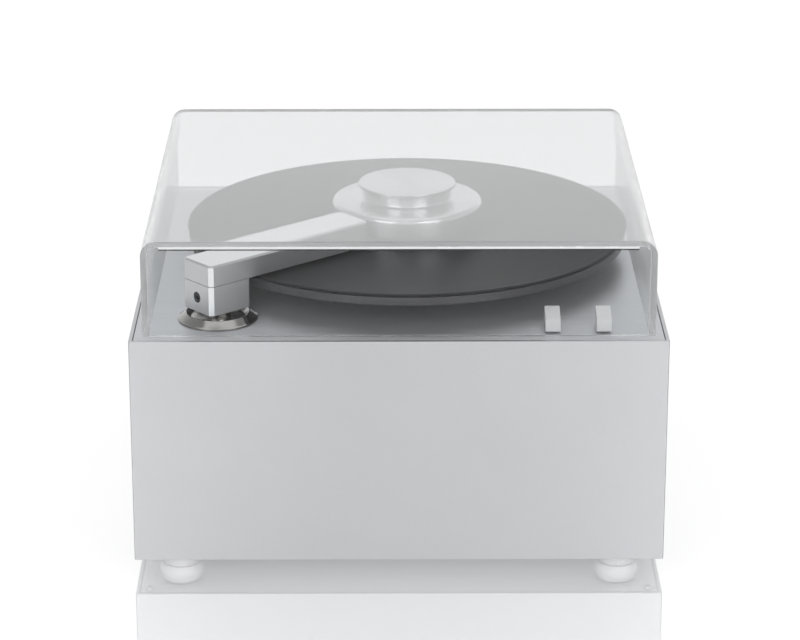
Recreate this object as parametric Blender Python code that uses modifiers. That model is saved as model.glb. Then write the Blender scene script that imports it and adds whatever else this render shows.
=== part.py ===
# Record cleaning machine: an aluminium case with a turned platter, a suction arm and a clear dust cover.
# Metres, +Z up. The origin is the middle of the object's box at the height that the feet stand on.
# X runs to the right along the front, Y runs back, and the front looks towards -Y.

import math

import bmesh
import bpy
from mathutils import Matrix, Vector

# General clearances
SEAT_GAP = 0.0003
RUNNING_GAP = 0.0003
CUT_OVERRUN = 0.002
SCREW_MERGE = 0.00005
ROUND_STEPS = 36
FINE_STEPS = 56
SMALL_STEPS = 20
SLOT_END_STEPS = 5
BELT_ARC_STEPS = 20
WELD_DISTANCE = 0.00001

# Case
CASE_HEIGHT = 0.1525
WALL = 0.0025
CORNER_RADIUS = 0.0012
TOP_THICKNESS = 0.003
TOP_EDGE_CHAMFER = 0.0003
BASE_THICKNESS = 0.002
REAR_THICKNESS = 0.002
POST_SIDE = 0.012
POST_CHAMFER = 0.001

# Feet
FOOT_RADIUS = 0.0145
FOOT_TOP_RADIUS = 0.0125
FOOT_HEIGHT = 0.012
FOOT_EDGE = 0.003
FOOT_RECESS_RADIUS = 0.006
FOOT_RECESS_DEPTH = 0.004
FOOT_INSET_X = 0.029
FOOT_INSET_Y = 0.028

# Vents in the base plate
VENT_SLOT_LENGTH = 0.05
VENT_SLOT_WIDTH = 0.0045
VENT_SLOT_PITCH = 0.010
VENT_SLOT_COUNT = 6

# Dust cover
COVER_INSET = 0.0085
COVER_HEIGHT = 0.0644
COVER_SHEET = 0.004
COVER_BEND_RADIUS = 0.0098
COVER_BEND_SEGMENTS = 8

# Platter group, all heights above the top plate
PLATTER_OFFSET_X = 0.0063
RECORD_RADIUS = 0.1508
RECORD_OVERHANG = 0.0008
PLATTER_LIP_WIDTH = 0.012
RECORD_TO_COVER_SIDE = 0.0044
RECORD_TO_COVER_END = 0.0037
RECORD_TOP = 0.0264
RECORD_THICKNESS = 0.0016
RECORD_HOLE_RADIUS = 0.00362
RECORD_BEAD = 0.0035
RECORD_DIP = 0.00025
LABEL_RADIUS = 0.05
PLATTER_HEIGHT = 0.0059
PLATTER_EDGE = 0.0006
PLATTER_RIM_WIDTH = 0.004
PLATTER_UNDERCUT = 0.0025
MAT_RECESS = 0.0012
HUB_RADIUS = 0.028
HUB_HEIGHT = 0.007
SPINDLE_TIP_RADIUS = 0.0034
SPINDLE_SHAFT_RADIUS = 0.006
SPINDLE_FLANGE_RADIUS = 0.02
SPINDLE_FLANGE_HEIGHT = 0.0035
SPINDLE_TIP_RISE = 0.017
SPINDLE_TIP_CHAMFER = 0.0008

# Clamp
CLAMP_RADIUS = 0.0515
CLAMP_SEAL_RADIUS = 0.0538
CLAMP_SEAL_WIDTH = 0.007
CLAMP_SEAL_HEIGHT = 0.0018
CLAMP_HEIGHT = 0.0269
CLAMP_SHOULDER = 0.0158
CLAMP_SHOULDER_RADIUS = 0.003
CLAMP_SLOPE_RISE = 0.0012
CLAMP_NECK_RADIUS = 0.0307
CLAMP_COVE_RADIUS = 0.0052
CLAMP_TOP_RADIUS = 0.0332
CLAMP_TOP_EDGE = 0.0018
CLAMP_TOP_CHAMFER = 0.0004
CLAMP_DIMPLE_RADIUS = 0.0063
CLAMP_DIMPLE_DEPTH = 0.0006
CLAMP_SOCKET_SKIN = 0.005
CLAMP_RELIEF_RADIUS = 0.04
CLAMP_RELIEF_DEPTH = 0.006

# Suction arm, about its pivot, heights above the top plate
PIVOT_FROM_RECORD = 0.0223
PIVOT_BEARING = math.radians(223.88)
ARM_OFF_CENTRE = math.radians(2.88)
ARM_TO_CLAMP = 0.0017
ARM_WIDTH = 0.030
ARM_TAIL = 0.017
ARM_TOP = 0.0425
ARM_BAR_HEIGHT = 0.014
ARM_CORNER_CHAMFER = 0.0025
ARM_TOP_CHAMFER = 0.0012
BLOCK_NOSE = 0.0168
BLOCK_BOTTOM = 0.0086
DUCT_RADIUS = 0.0036
DUCT_WALL = 0.006
DUCT_STEPS = 16
SUCTION_SLOT_WIDTH = 0.003
SLOT_START = 0.027
SLOT_END_WALL = 0.006
LIP_WIDTH = 0.004
LIP_HEIGHT = 0.0015
LIP_OFFSET = 0.0042
LIP_EDGE = 0.0004
TUBE_RADIUS = 0.0058
TUBE_WALL = 0.0013
TUBE_DROP = 0.049
SCREW_RADIUS = 0.0033
SCREW_LENGTH = 0.0078
SCREW_SINK = 0.0004
SCREW_SOCKET_RADIUS = 0.0017
SCREW_SOCKET_DEPTH = 0.0025
HEX_STEPS = 6

# Pivot collar, sleeve and bearing
COLLAR_RADIUS = 0.0263
COLLAR_RIDGE_RADIUS = 0.0206
COLLAR_RIDGE_WIDTH = 0.0007
COLLAR_HEIGHT = 0.005
COLLAR_LIP = 0.001
COLLAR_LIP_ROUND = 0.0005
COLLAR_FLOOR = 0.0016
COLLAR_FLOOR_RADIUS = 0.0178
SLEEVE_WALL = 0.0019
SLEEVE_DROP = 0.036
BEARING_WALL = 0.004
BEARING_FLANGE_RADIUS = 0.024
BEARING_FLANGE = 0.003
BEARING_DEPTH = 0.030

# Suction elbow under the arm's tube
ELBOW_WALL = 0.003
ELBOW_HEIGHT = 0.022
ELBOW_FLOOR = 0.004
ELBOW_SPOUT_RADIUS = 0.007
ELBOW_SPOUT_LENGTH = 0.022

# Paddles and their switches
PADDLE_TO_SIDE = 0.0414
PADDLE_PITCH = 0.0331
PADDLE_NAMES = ("left", "right")
PADDLE_FROM_FRONT = 0.0150
PADDLE_WIDTH = 0.0099
PADDLE_LENGTH = 0.0188
PADDLE_FRONT_HEIGHT = 0.0083
PADDLE_FRONT_LEAN = 0.0006
PADDLE_REAR_LIFT = 0.0036
PADDLE_CLEARANCE = 0.0014
PADDLE_EDGE = 0.0005
PADDLE_STEM_WIDTH = 0.005
PADDLE_STEM_DEPTH = 0.005
PADDLE_STEM_END = 0.013
PADDLE_PIVOT_DROP = 0.0075
PADDLE_TRAVEL = math.radians(20.0)
SWITCH_WIDTH = 0.015
SWITCH_DEPTH = 0.026
SWITCH_HEIGHT = 0.020
SWITCH_POCKET_DEPTH = 0.013
TERMINAL_WIDTH = 0.0048
TERMINAL_THICKNESS = 0.0008
TERMINAL_LENGTH = 0.008
TERMINAL_PITCH = 0.008
TERMINAL_COUNT = 3
TERMINAL_ROOT = 0.001

# Spindle bearing, belt drive and gear motor
HOUSING_RADIUS = 0.013
HOUSING_DEPTH = 0.040
HOUSING_FLANGE_RADIUS = 0.026
HOUSING_FLANGE = 0.004
HOUSING_BOSS_RISE = 0.006
PULLEY_GAP = 0.003
SPINDLE_PULLEY_RADIUS = 0.030
MOTOR_PULLEY_RADIUS = 0.010
PULLEY_WIDTH = 0.009
PULLEY_FLANGE = 0.001
PULLEY_FLANGE_RISE = 0.0018
BELT_WIDTH = 0.006
BELT_THICKNESS = 0.0014
MOTOR_OFFSET_X = 0.051
MOTOR_OFFSET_Y = -0.063
MOTOR_RADIUS = 0.030
MOTOR_HEIGHT = 0.036
MOTOR_EDGE = 0.0015
MOTOR_SHAFT_RADIUS = 0.003
MOTOR_NOSE_RADIUS = 0.006
BRACKET_THICKNESS = 0.003
BRACKET_MARGIN = 0.008
BRACKET_CORNER = 0.004
SPINDLE_TAIL = 0.002

# Vacuum turbine
TURBINE_TO_WALL = 0.0115
TURBINE_TO_REAR = 0.0179
TURBINE_HEADROOM = 0.0399
TURBINE_RADIUS = 0.062
TURBINE_MOTOR_RADIUS = 0.044
TURBINE_FAN_HEIGHT = 0.036
TURBINE_EDGE = 0.004
TURBINE_CAP_RADIUS = 0.026
TURBINE_CAP_HEIGHT = 0.007
TURBINE_INLET_RADIUS = 0.011
TURBINE_INLET_RISE = 0.014
MOUNT_HEIGHT = 0.006
MOUNT_RING_WIDTH = 0.010
MOUNT_RING_INSET = 0.004

# Fluid tank
TANK_TO_WALL = 0.0095
TANK_TO_REAR = 0.0529
TANK_HEADROOM = 0.0672
TANK_WIDTH = 0.088
TANK_LENGTH = 0.170
TANK_CORNER = 0.008
TANK_WALL = 0.0025
TANK_LID_HEIGHT = 0.005
TANK_LID_OVERHANG = 0.0015
TANK_PORT_RADIUS = 0.011
TANK_PORT_RISE = 0.010
TANK_PORT_INSET = 0.026
SUCTION_RUN = 0.0567
TANK_DRAIN_RADIUS = 0.006
TANK_DRAIN_HEIGHT = 0.012
TANK_DRAIN_LENGTH = 0.008

# Hoses
VACUUM_HOSE_RADIUS = 0.011
SUCTION_HOSE_RADIUS = 0.007
DRAIN_HOSE_RADIUS = 0.006
HOSE_WALL = 0.002
HOSE_POINTS = 9
HOSE_LEAD = 0.003
STRAIGHT_WITHIN = math.radians(1.0)
SUCTION_PULL_OUT = 0.06
SUCTION_PULL_DOWN = 0.09
VACUUM_PULL = 0.09
VACUUM_RUN = 0.15
VACUUM_HEADROOM = 0.008

# Exhaust duct and louvres
DUCT_BOX_WIDTH = 0.064
DUCT_BOX_HEIGHT = 0.030
DUCT_BOX_WALL = 0.002
DUCT_BOX_RISE = 0.004
LOUVRE_COUNT = 5
LOUVRE_WIDTH = 0.056
LOUVRE_HEIGHT = 0.003
LOUVRE_PITCH = 0.0055

# Mains inlet and switch on the rear panel
INLET_FROM_TAP = 0.038
MAINS_FROM_INLET = 0.042
INLET_Z = 0.046
INLET_WIDTH = 0.030
INLET_HEIGHT = 0.024
INLET_FLANGE_MARGIN = 0.005
INLET_FLANGE = 0.0025
INLET_DEPTH = 0.024
INLET_WALL = 0.0022
INLET_CAVITY = 0.017
INLET_CORNER = 0.004
PIN_LENGTH = 0.010
PIN_WIDTH = 0.002
PIN_HEIGHT = 0.004
PIN_PITCH = 0.007
PIN_DROP = 0.004
MAINS_WIDTH = 0.0135
MAINS_HEIGHT = 0.0195
MAINS_BEZEL_MARGIN = 0.002
MAINS_BEZEL = 0.002
MAINS_DEPTH = 0.016
MAINS_WALL = 0.0014
MAINS_POCKET = 0.010
MAINS_ROCKER_RISE = 0.0022
MAINS_ROCKER_DEPTH = 0.006
MAINS_TILT = math.radians(8.0)
MAINS_EDGE = 0.0006

# Drain tap on the rear panel
TAP_TO_WALL = 0.0255
TAP_FLANGE_RADIUS = 0.010
TAP_FLANGE = 0.002
TAP_RADIUS = 0.0065
TAP_BORE = 0.004
TAP_LENGTH = 0.018
TAP_BARB_RISE = 0.0009
TAP_BARB_PITCH = 0.003
TAP_BARB_COUNT = 3
TAP_BODY_LENGTH = 0.009
TAP_STEM_RADIUS = 0.0025
TAP_STEM_RISE = 0.0095
TAP_STEM_FROM_PANEL = 0.006
LEVER_LENGTH = 0.022
LEVER_WIDTH = 0.006
LEVER_THICKNESS = 0.003
LEVER_EDGE = 0.0008
TAP_NUT_RADIUS = 0.011
TAP_NUT = 0.004

# Control board
BOARD_TO_WALL = 0.0285
BOARD_TO_FRONT = 0.0287
BOARD_WIDTH = 0.120
BOARD_DEPTH = 0.070
BOARD_THICKNESS = 0.0016
BOARD_STANDOFF = 0.008
STANDOFF_RADIUS = 0.003
STANDOFF_INSET = 0.006
TRANSFORMER_WIDTH = 0.046
TRANSFORMER_DEPTH = 0.040
TRANSFORMER_HEIGHT = 0.034
TRANSFORMER_CORE = 0.014
TRANSFORMER_EDGE = 0.003
RELAY_WIDTH = 0.020
RELAY_DEPTH = 0.016
RELAY_HEIGHT = 0.015
RELAY_COUNT = 2
RELAY_PITCH = 0.024
PART_SINK = 0.0004

# Sizes and places that follow from the sizes above
PLATTER_RADIUS = RECORD_RADIUS - RECORD_OVERHANG
PLATTER_UNDERCUT_RADIUS = PLATTER_RADIUS - PLATTER_LIP_WIDTH
CASE_HALF_WIDTH = PLATTER_OFFSET_X + RECORD_RADIUS + RECORD_TO_COVER_SIDE + COVER_SHEET + COVER_INSET
CASE_HALF_DEPTH = RECORD_RADIUS + RECORD_TO_COVER_END + COVER_SHEET + COVER_INSET
CASE_WIDTH = 2 * CASE_HALF_WIDTH
CASE_DEPTH = 2 * CASE_HALF_DEPTH
REAR_REACH = TAP_LENGTH + SEAT_GAP
CASE_Y = -REAR_REACH / 2
FRONT_Y = CASE_Y - CASE_HALF_DEPTH
REAR_Y = CASE_Y + CASE_HALF_DEPTH
CASE_BOTTOM = FOOT_HEIGHT + SEAT_GAP
TOP_Z = CASE_BOTTOM + CASE_HEIGHT
FLOOR_Z = CASE_BOTTOM + BASE_THICKNESS
UNDERSIDE_Z = TOP_Z - TOP_THICKNESS
INNER_HALF_X = CASE_HALF_WIDTH - WALL
INNER_FRONT_Y = FRONT_Y + WALL
INNER_REAR_Y = REAR_Y - REAR_THICKNESS
PLATTER_X = PLATTER_OFFSET_X
PLATTER_Y = CASE_Y
PIVOT_DISTANCE = RECORD_RADIUS + PIVOT_FROM_RECORD
PIVOT_X = PLATTER_X + PIVOT_DISTANCE * math.cos(PIVOT_BEARING)
PIVOT_Y = PLATTER_Y + PIVOT_DISTANCE * math.sin(PIVOT_BEARING)
ARM_ANGLE = PIVOT_BEARING - math.pi - ARM_OFF_CENTRE
ARM_TIP_RADIUS = PIVOT_DISTANCE - CLAMP_SEAL_RADIUS - ARM_TO_CLAMP
ARM_REACH = math.sqrt(ARM_TIP_RADIUS ** 2 - (ARM_WIDTH / 2) ** 2)
PADDLE_X = (CASE_HALF_WIDTH - PADDLE_TO_SIDE - PADDLE_PITCH, CASE_HALF_WIDTH - PADDLE_TO_SIDE)
RECORD_Z = TOP_Z + RECORD_TOP
PLATTER_TOP_Z = RECORD_Z - RECORD_THICKNESS - SEAT_GAP
PLATTER_BOTTOM_Z = PLATTER_TOP_Z - PLATTER_HEIGHT
HUB_BOTTOM_Z = PLATTER_BOTTOM_Z - HUB_HEIGHT
CLAMP_BOTTOM_Z = RECORD_Z + SEAT_GAP
ARM_BOTTOM_Z = TOP_Z + ARM_TOP - ARM_BAR_HEIGHT
BLOCK_BOTTOM_Z = TOP_Z + BLOCK_BOTTOM
BLOCK_TOP_Z = ARM_BOTTOM_Z - SEAT_GAP
SLEEVE_INNER = TUBE_RADIUS + RUNNING_GAP
SLEEVE_OUTER = SLEEVE_INNER + SLEEVE_WALL
COLLAR_BORE = SLEEVE_OUTER + RUNNING_GAP
HOUSING_BOTTOM_Z = UNDERSIDE_Z - SEAT_GAP - HOUSING_FLANGE - HOUSING_DEPTH
PULLEY_TOP_Z = HOUSING_BOTTOM_Z - PULLEY_GAP
PULLEY_BOTTOM_Z = PULLEY_TOP_Z - PULLEY_WIDTH
MOTOR_X = PLATTER_X + MOTOR_OFFSET_X
MOTOR_Y = PLATTER_Y + MOTOR_OFFSET_Y
MOTOR_TOP_Z = UNDERSIDE_Z - SEAT_GAP - BRACKET_THICKNESS - SEAT_GAP
MOTOR_BOTTOM_Z = MOTOR_TOP_Z - MOTOR_HEIGHT
TURBINE_X = INNER_HALF_X - TURBINE_TO_WALL - TURBINE_RADIUS
TURBINE_Y = INNER_REAR_Y - TURBINE_TO_REAR - TURBINE_RADIUS
TURBINE_BOTTOM_Z = FLOOR_Z + SEAT_GAP + MOUNT_HEIGHT + SEAT_GAP
TURBINE_MOUTH_Z = UNDERSIDE_Z - TURBINE_HEADROOM
TURBINE_HEIGHT = TURBINE_MOUTH_Z - TURBINE_INLET_RISE - TURBINE_CAP_HEIGHT - TURBINE_BOTTOM_Z
TANK_X = -INNER_HALF_X + TANK_TO_WALL + TANK_WIDTH / 2
TANK_Y = INNER_REAR_Y - TANK_TO_REAR - TANK_LENGTH / 2
TANK_BOTTOM_Z = FLOOR_Z + SEAT_GAP
TANK_TOP_Z = UNDERSIDE_Z - TANK_HEADROOM
TANK_HEIGHT = TANK_TOP_Z - TANK_BOTTOM_Z
TANK_LID_TOP_Z = TANK_TOP_Z + SEAT_GAP + TANK_LID_HEIGHT
TAP_X = -INNER_HALF_X + TAP_TO_WALL
TAP_Z = TANK_BOTTOM_Z + TANK_DRAIN_HEIGHT
INLET_X = TAP_X + INLET_FROM_TAP
MAINS_X = INLET_X + MAINS_FROM_INLET
BOARD_X = INNER_HALF_X - BOARD_TO_WALL - BOARD_WIDTH / 2
BOARD_Y = INNER_FRONT_Y + BOARD_TO_FRONT + BOARD_DEPTH / 2
ELBOW_TOP_Z = TOP_Z - SLEEVE_DROP - SEAT_GAP


# Scene and materials

def clear_scene():
    for old in list(bpy.data.objects):
        bpy.data.objects.remove(old, do_unlink=True)


def new_collection(name):
    collection = bpy.data.collections.new(name)
    bpy.context.scene.collection.children.link(collection)
    return collection


def new_material(name, colour, roughness, metallic=0.0, alpha=1.0):
    material = bpy.data.materials.new(name)
    material.use_nodes = True
    shader = material.node_tree.nodes["Principled BSDF"]
    shader.inputs["Base Color"].default_value = (*colour, 1.0)
    shader.inputs["Roughness"].default_value = roughness
    shader.inputs["Metallic"].default_value = metallic
    shader.inputs["Alpha"].default_value = alpha
    material.diffuse_color = (*colour, alpha)
    return material


clear_scene()
PARTS = new_collection("record_cleaning_machine")
CUTTERS = new_collection("cutters")

SATIN_ALUMINIUM = new_material("satin_aluminium", (0.62, 0.63, 0.65), 0.42, 1.0)
BRUSHED_ALUMINIUM = new_material("brushed_aluminium", (0.58, 0.59, 0.60), 0.32, 1.0)
POLISHED_ALUMINIUM = new_material("polished_aluminium", (0.80, 0.80, 0.81), 0.14, 1.0)
POLISHED_STEEL = new_material("polished_steel", (0.62, 0.61, 0.60), 0.10, 1.0)
BARE_STEEL = new_material("bare_steel", (0.50, 0.50, 0.51), 0.35, 1.0)
BRASS = new_material("brass", (0.72, 0.56, 0.28), 0.30, 1.0)
CLEAR_ACRYLIC = new_material("clear_acrylic", (0.95, 0.97, 0.98), 0.05, 0.0, 0.3)
RECORD_VINYL = new_material("record_vinyl", (0.035, 0.035, 0.038), 0.35)
PLATTER_BLACK = new_material("platter_black", (0.05, 0.05, 0.052), 0.45)
MAT_RUBBER = new_material("mat_rubber", (0.03, 0.03, 0.03), 0.85)
LIP_VELVET = new_material("lip_velvet", (0.04, 0.04, 0.045), 0.95)
FOOT_SILICONE = new_material("foot_silicone", (0.82, 0.83, 0.84), 0.35)
BLACK_PLASTIC = new_material("black_plastic", (0.03, 0.03, 0.032), 0.45)
GREY_PLASTIC = new_material("grey_plastic", (0.35, 0.36, 0.37), 0.50)
TANK_PLASTIC = new_material("tank_plastic", (0.80, 0.81, 0.78), 0.40)
HOSE_RUBBER = new_material("hose_rubber", (0.06, 0.06, 0.065), 0.60)
BOARD_GREEN = new_material("board_green", (0.03, 0.18, 0.09), 0.45)
COPPER_WINDING = new_material("copper_winding", (0.65, 0.32, 0.16), 0.40, 1.0)


# Shape helpers

def add_object(name, mesh, material, collection=None):
    part = bpy.data.objects.new(name, mesh)
    (collection or PARTS).objects.link(part)
    if material is not None:
        part.data.materials.append(material)
    return part


def mesh_from(bm, name):
    bmesh.ops.recalc_face_normals(bm, faces=bm.faces)
    mesh = bpy.data.meshes.new(name)
    bm.to_mesh(mesh)
    bm.free()
    return mesh


def box_mesh(name, size, centre=(0, 0, 0)):
    bm = bmesh.new()
    bmesh.ops.create_cube(bm, size=1)
    bmesh.ops.scale(bm, verts=bm.verts, vec=Vector(size))
    bmesh.ops.translate(bm, verts=bm.verts, vec=Vector(centre))
    return mesh_from(bm, name)


def rounded_box_mesh(name, size, radius, segments, centre=(0, 0, 0), only=None):
    """A box with bevelled edges; only is an axis vector that the bevelled edges run along."""
    bm = bmesh.new()
    bmesh.ops.create_cube(bm, size=1)
    bmesh.ops.scale(bm, verts=bm.verts, vec=Vector(size))
    edges = list(bm.edges)
    if only is not None:
        edges = [e for e in edges if runs_along(e, only)]
    bmesh.ops.bevel(bm, geom=edges, offset=radius, segments=segments, profile=0.5, affect="EDGES")
    bmesh.ops.translate(bm, verts=bm.verts, vec=Vector(centre))
    return mesh_from(bm, name)


def runs_along(edge, axis):
    run = (edge.verts[1].co - edge.verts[0].co).normalized()
    return abs(run.dot(Vector(axis))) > 0.99


def box(name, size, centre, material, collection=None):
    part = add_object(name, box_mesh(name, size), material, collection)
    part.location = centre
    return part


def rounded_box(name, size, centre, radius, segments, material, only=None):
    part = add_object(name, rounded_box_mesh(name, size, radius, segments, only=only), material)
    part.location = centre
    smooth(part)
    return part


def smooth(part, angle=math.radians(35)):
    part.data.shade_smooth()
    part.data.set_sharp_from_angle(angle=angle)


def turned(name, profile, place, material, steps=ROUND_STEPS, closed=False, collection=None):
    """Turns a profile of (radius, height) points, outer side running down, about the vertical at place."""
    mesh = bpy.data.meshes.new(name)
    points = [(radius, 0, height) for radius, height in profile]
    edges = [(i, i + 1) for i in range(len(points) - 1)]
    if closed:
        edges.append((len(points) - 1, 0))
    mesh.from_pydata(points, edges, [])
    part = add_object(name, mesh, material, collection)
    part.location = place
    screw = part.modifiers.new("Turn", "SCREW")
    screw.steps = steps
    screw.render_steps = steps
    screw.use_merge_vertices = True
    screw.merge_threshold = SCREW_MERGE
    screw.use_smooth_shade = True
    return part


def arc(centre_r, centre_z, radius, start, end, count):
    """Points of an arc in a flat plane, angles in degrees from that plane's first axis."""
    points = []
    for i in range(count + 1):
        angle = math.radians(start + (end - start) * i / count)
        points.append((centre_r + radius * math.cos(angle), centre_z + radius * math.sin(angle)))
    return points


def bevel_edges(part, width, segments=1, angle=math.radians(30)):
    bevel = part.modifiers.new("Edge", "BEVEL")
    bevel.width = width
    bevel.segments = segments
    bevel.limit_method = "ANGLE"
    bevel.angle_limit = angle
    return bevel


def as_cutter(part):
    part.hide_render = True
    part.display_type = "WIRE"
    return part


def cutter_box(name, size, centre):
    return as_cutter(box(name, size, centre, None, CUTTERS))


def cutter_round(name, radius, height, centre, steps=ROUND_STEPS, axis="Z", turn=0.0):
    bm = bmesh.new()
    bmesh.ops.create_cone(
        bm, cap_ends=True, segments=steps, radius1=radius, radius2=radius, depth=height)
    cutter = add_object(name, mesh_from(bm, name), None, CUTTERS)
    cutter.location = centre
    if axis == "X":
        cutter.rotation_euler = (0, math.pi / 2, turn)
    if axis == "Y":
        cutter.rotation_euler = (math.pi / 2, 0, turn)
    return as_cutter(cutter)


def boolean(part, tool, operation="DIFFERENCE"):
    step = part.modifiers.new(tool.name, "BOOLEAN")
    step.operation = operation
    step.object = tool
    return step


def join_box(part, name, size, centre):
    boolean(part, cutter_box(name, size, centre), "UNION")


def slot_mesh(name, length, width, height):
    """A slot with round ends, lying along X and standing height tall, centred on its origin."""
    bm = bmesh.new()
    half = (length - width) / 2
    verts = []
    for side, start in ((1, -90), (-1, 90)):
        for i in range(SLOT_END_STEPS + 1):
            angle = math.radians(start + 180 * i / SLOT_END_STEPS)
            across = width / 2 * math.sin(angle)
            verts.append(bm.verts.new((side * half + width / 2 * math.cos(angle), across, -height / 2)))
    face = bm.faces.new(verts)
    risen = bmesh.ops.extrude_face_region(bm, geom=[face])["geom"]
    lifted = [v for v in risen if isinstance(v, bmesh.types.BMVert)]
    bmesh.ops.translate(bm, verts=lifted, vec=(0, 0, height))
    return mesh_from(bm, name)


def smooth_route(nodes, count=HOSE_POINTS):
    """A smooth path through nodes of (point, pull), where a pull is the path's speed and heading there."""
    route = []
    for (start, leave), (stop, arrive) in zip(nodes[:-1], nodes[1:]):
        start, leave, stop, arrive = (Vector(v) for v in (start, leave, stop, arrive))
        for step in range(count):
            t = step / count
            route.append(
                (2 * t ** 3 - 3 * t ** 2 + 1) * start + (t ** 3 - 2 * t ** 2 + t) * leave
                + (3 * t ** 2 - 2 * t ** 3) * stop + (t ** 3 - t ** 2) * arrive)
    return route + [Vector(nodes[-1][0])]


def bent(nodes):
    return Vector(nodes[0][1]).angle(Vector(nodes[-1][1])) > STRAIGHT_WITHIN


def hose_curve(name, route, radius):
    curve = bpy.data.curves.new(name, "CURVE")
    curve.dimensions = "3D"
    curve.bevel_depth = radius
    curve.bevel_resolution = 3
    curve.use_fill_caps = True
    spline = curve.splines.new("POLY")
    spline.points.add(len(route) - 1)
    for point, place in zip(spline.points, route):
        point.co = (*place, 1)
    return curve


def mesh_of_curve(name, curve):
    """The curve's solid as a mesh with its caps welded."""
    guide = bpy.data.objects.new(name + "_guide", curve)
    CUTTERS.objects.link(guide)
    graph = bpy.context.evaluated_depsgraph_get()
    mesh = bpy.data.meshes.new_from_object(guide.evaluated_get(graph))
    bpy.data.objects.remove(guide, do_unlink=True)
    bm = bmesh.new()
    bm.from_mesh(mesh)
    bmesh.ops.remove_doubles(bm, verts=bm.verts, dist=WELD_DISTANCE)
    bmesh.ops.recalc_face_normals(bm, faces=bm.faces)
    bm.to_mesh(mesh)
    bm.free()
    mesh.name = name
    return mesh


def with_leads(nodes):
    """The route between two short straight leads, so that the hose's ends are cut square."""
    (start, leave), (stop, arrive) = nodes[0], nodes[-1]
    inner_start = Vector(start) + Vector(leave).normalized() * HOSE_LEAD
    inner_stop = Vector(stop) - Vector(arrive).normalized() * HOSE_LEAD
    return [Vector(start)] + smooth_route(
        [(inner_start, leave)] + nodes[1:-1] + [(inner_stop, arrive)]) + [Vector(stop)]


def hose(name, nodes, radius, material):
    """A hollow hose along a smooth route: its bore is a thinner tube that runs out of both ends."""
    route = with_leads(nodes) if len(nodes) > 2 or bent(nodes) else [Vector(p) for p, _ in nodes]
    part = add_object(name, mesh_of_curve(name, hose_curve(name, route, radius)), material)
    first = route[0] + (route[0] - route[1]).normalized() * CUT_OVERRUN
    last = route[-1] + (route[-1] - route[-2]).normalized() * CUT_OVERRUN
    bore_route = [first] + route + [last]
    bore_curve = hose_curve(name + "_bore", bore_route, radius - HOSE_WALL)
    bore = add_object(name + "_bore", mesh_of_curve(name + "_bore", bore_curve), None, CUTTERS)
    boolean(part, as_cutter(bore))
    smooth(part)
    return part


# Case

def case_wrap():
    """Front and two sides bent from one sheet, open at the rear."""
    half, turn = CASE_HALF_WIDTH, CORNER_RADIUS
    left = arc(-half + turn, FRONT_Y + turn, turn, 180, 270, 3)
    right = arc(half - turn, FRONT_Y + turn, turn, 270, 360, 3)
    inner = [(INNER_HALF_X, REAR_Y), (INNER_HALF_X, INNER_FRONT_Y),
             (-INNER_HALF_X, INNER_FRONT_Y), (-INNER_HALF_X, REAR_Y)]
    plan = [(-half, REAR_Y)] + left + right + [(half, REAR_Y)] + inner
    bm = bmesh.new()
    face = bm.faces.new([bm.verts.new((x, y, CASE_BOTTOM)) for x, y in plan])
    risen = bmesh.ops.extrude_face_region(bm, geom=[face])["geom"]
    lifted = [v for v in risen if isinstance(v, bmesh.types.BMVert)]
    bmesh.ops.translate(bm, verts=lifted, vec=(0, 0, CASE_HEIGHT))
    return add_object("case_wrap", mesh_from(bm, "case_wrap"), SATIN_ALUMINIUM)


def top_plate():
    width = 2 * (INNER_HALF_X - SEAT_GAP)
    rear = REAR_Y
    front = INNER_FRONT_Y + SEAT_GAP
    size = (width, rear - front, TOP_THICKNESS)
    part = box("top_plate", size, (0, (front + rear) / 2, TOP_Z - TOP_THICKNESS / 2), BRUSHED_ALUMINIUM)
    bevel_edges(part, TOP_EDGE_CHAMFER)
    deep = TOP_THICKNESS + 2 * CUT_OVERRUN
    middle = TOP_Z - TOP_THICKNESS / 2
    spindle_hole = HOUSING_RADIUS + SEAT_GAP
    boolean(part, cutter_round("cut_spindle_hole", spindle_hole, deep, (PLATTER_X, PLATTER_Y, middle)))
    pivot_hole = SLEEVE_OUTER + BEARING_WALL + SEAT_GAP
    boolean(part, cutter_round("cut_pivot_hole", pivot_hole, deep, (PIVOT_X, PIVOT_Y, middle)))
    for name, x in zip(PADDLE_NAMES, PADDLE_X):
        window = (paddle_window_width(), paddle_window_depth(), deep)
        boolean(part, cutter_box("cut_paddle_" + name, window, (x, paddle_y(), middle)))
    return part


def base_plate():
    width = 2 * (INNER_HALF_X - SEAT_GAP)
    front = INNER_FRONT_Y + SEAT_GAP
    rear = INNER_REAR_Y - SEAT_GAP
    middle = CASE_BOTTOM + BASE_THICKNESS / 2
    part = box("base_plate", (width, rear - front, BASE_THICKNESS), (0, (front + rear) / 2, middle),
               SATIN_ALUMINIUM)
    for i in range(VENT_SLOT_COUNT):
        mesh = slot_mesh("vent", VENT_SLOT_LENGTH, VENT_SLOT_WIDTH, BASE_THICKNESS + 2 * CUT_OVERRUN)
        vent = as_cutter(add_object(f"cut_vent_{i}", mesh, None, CUTTERS))
        shift = (i - (VENT_SLOT_COUNT - 1) / 2) * VENT_SLOT_PITCH
        vent.location = (TURBINE_X, TURBINE_Y + shift, middle)
        boolean(part, vent)
    return part


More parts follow.
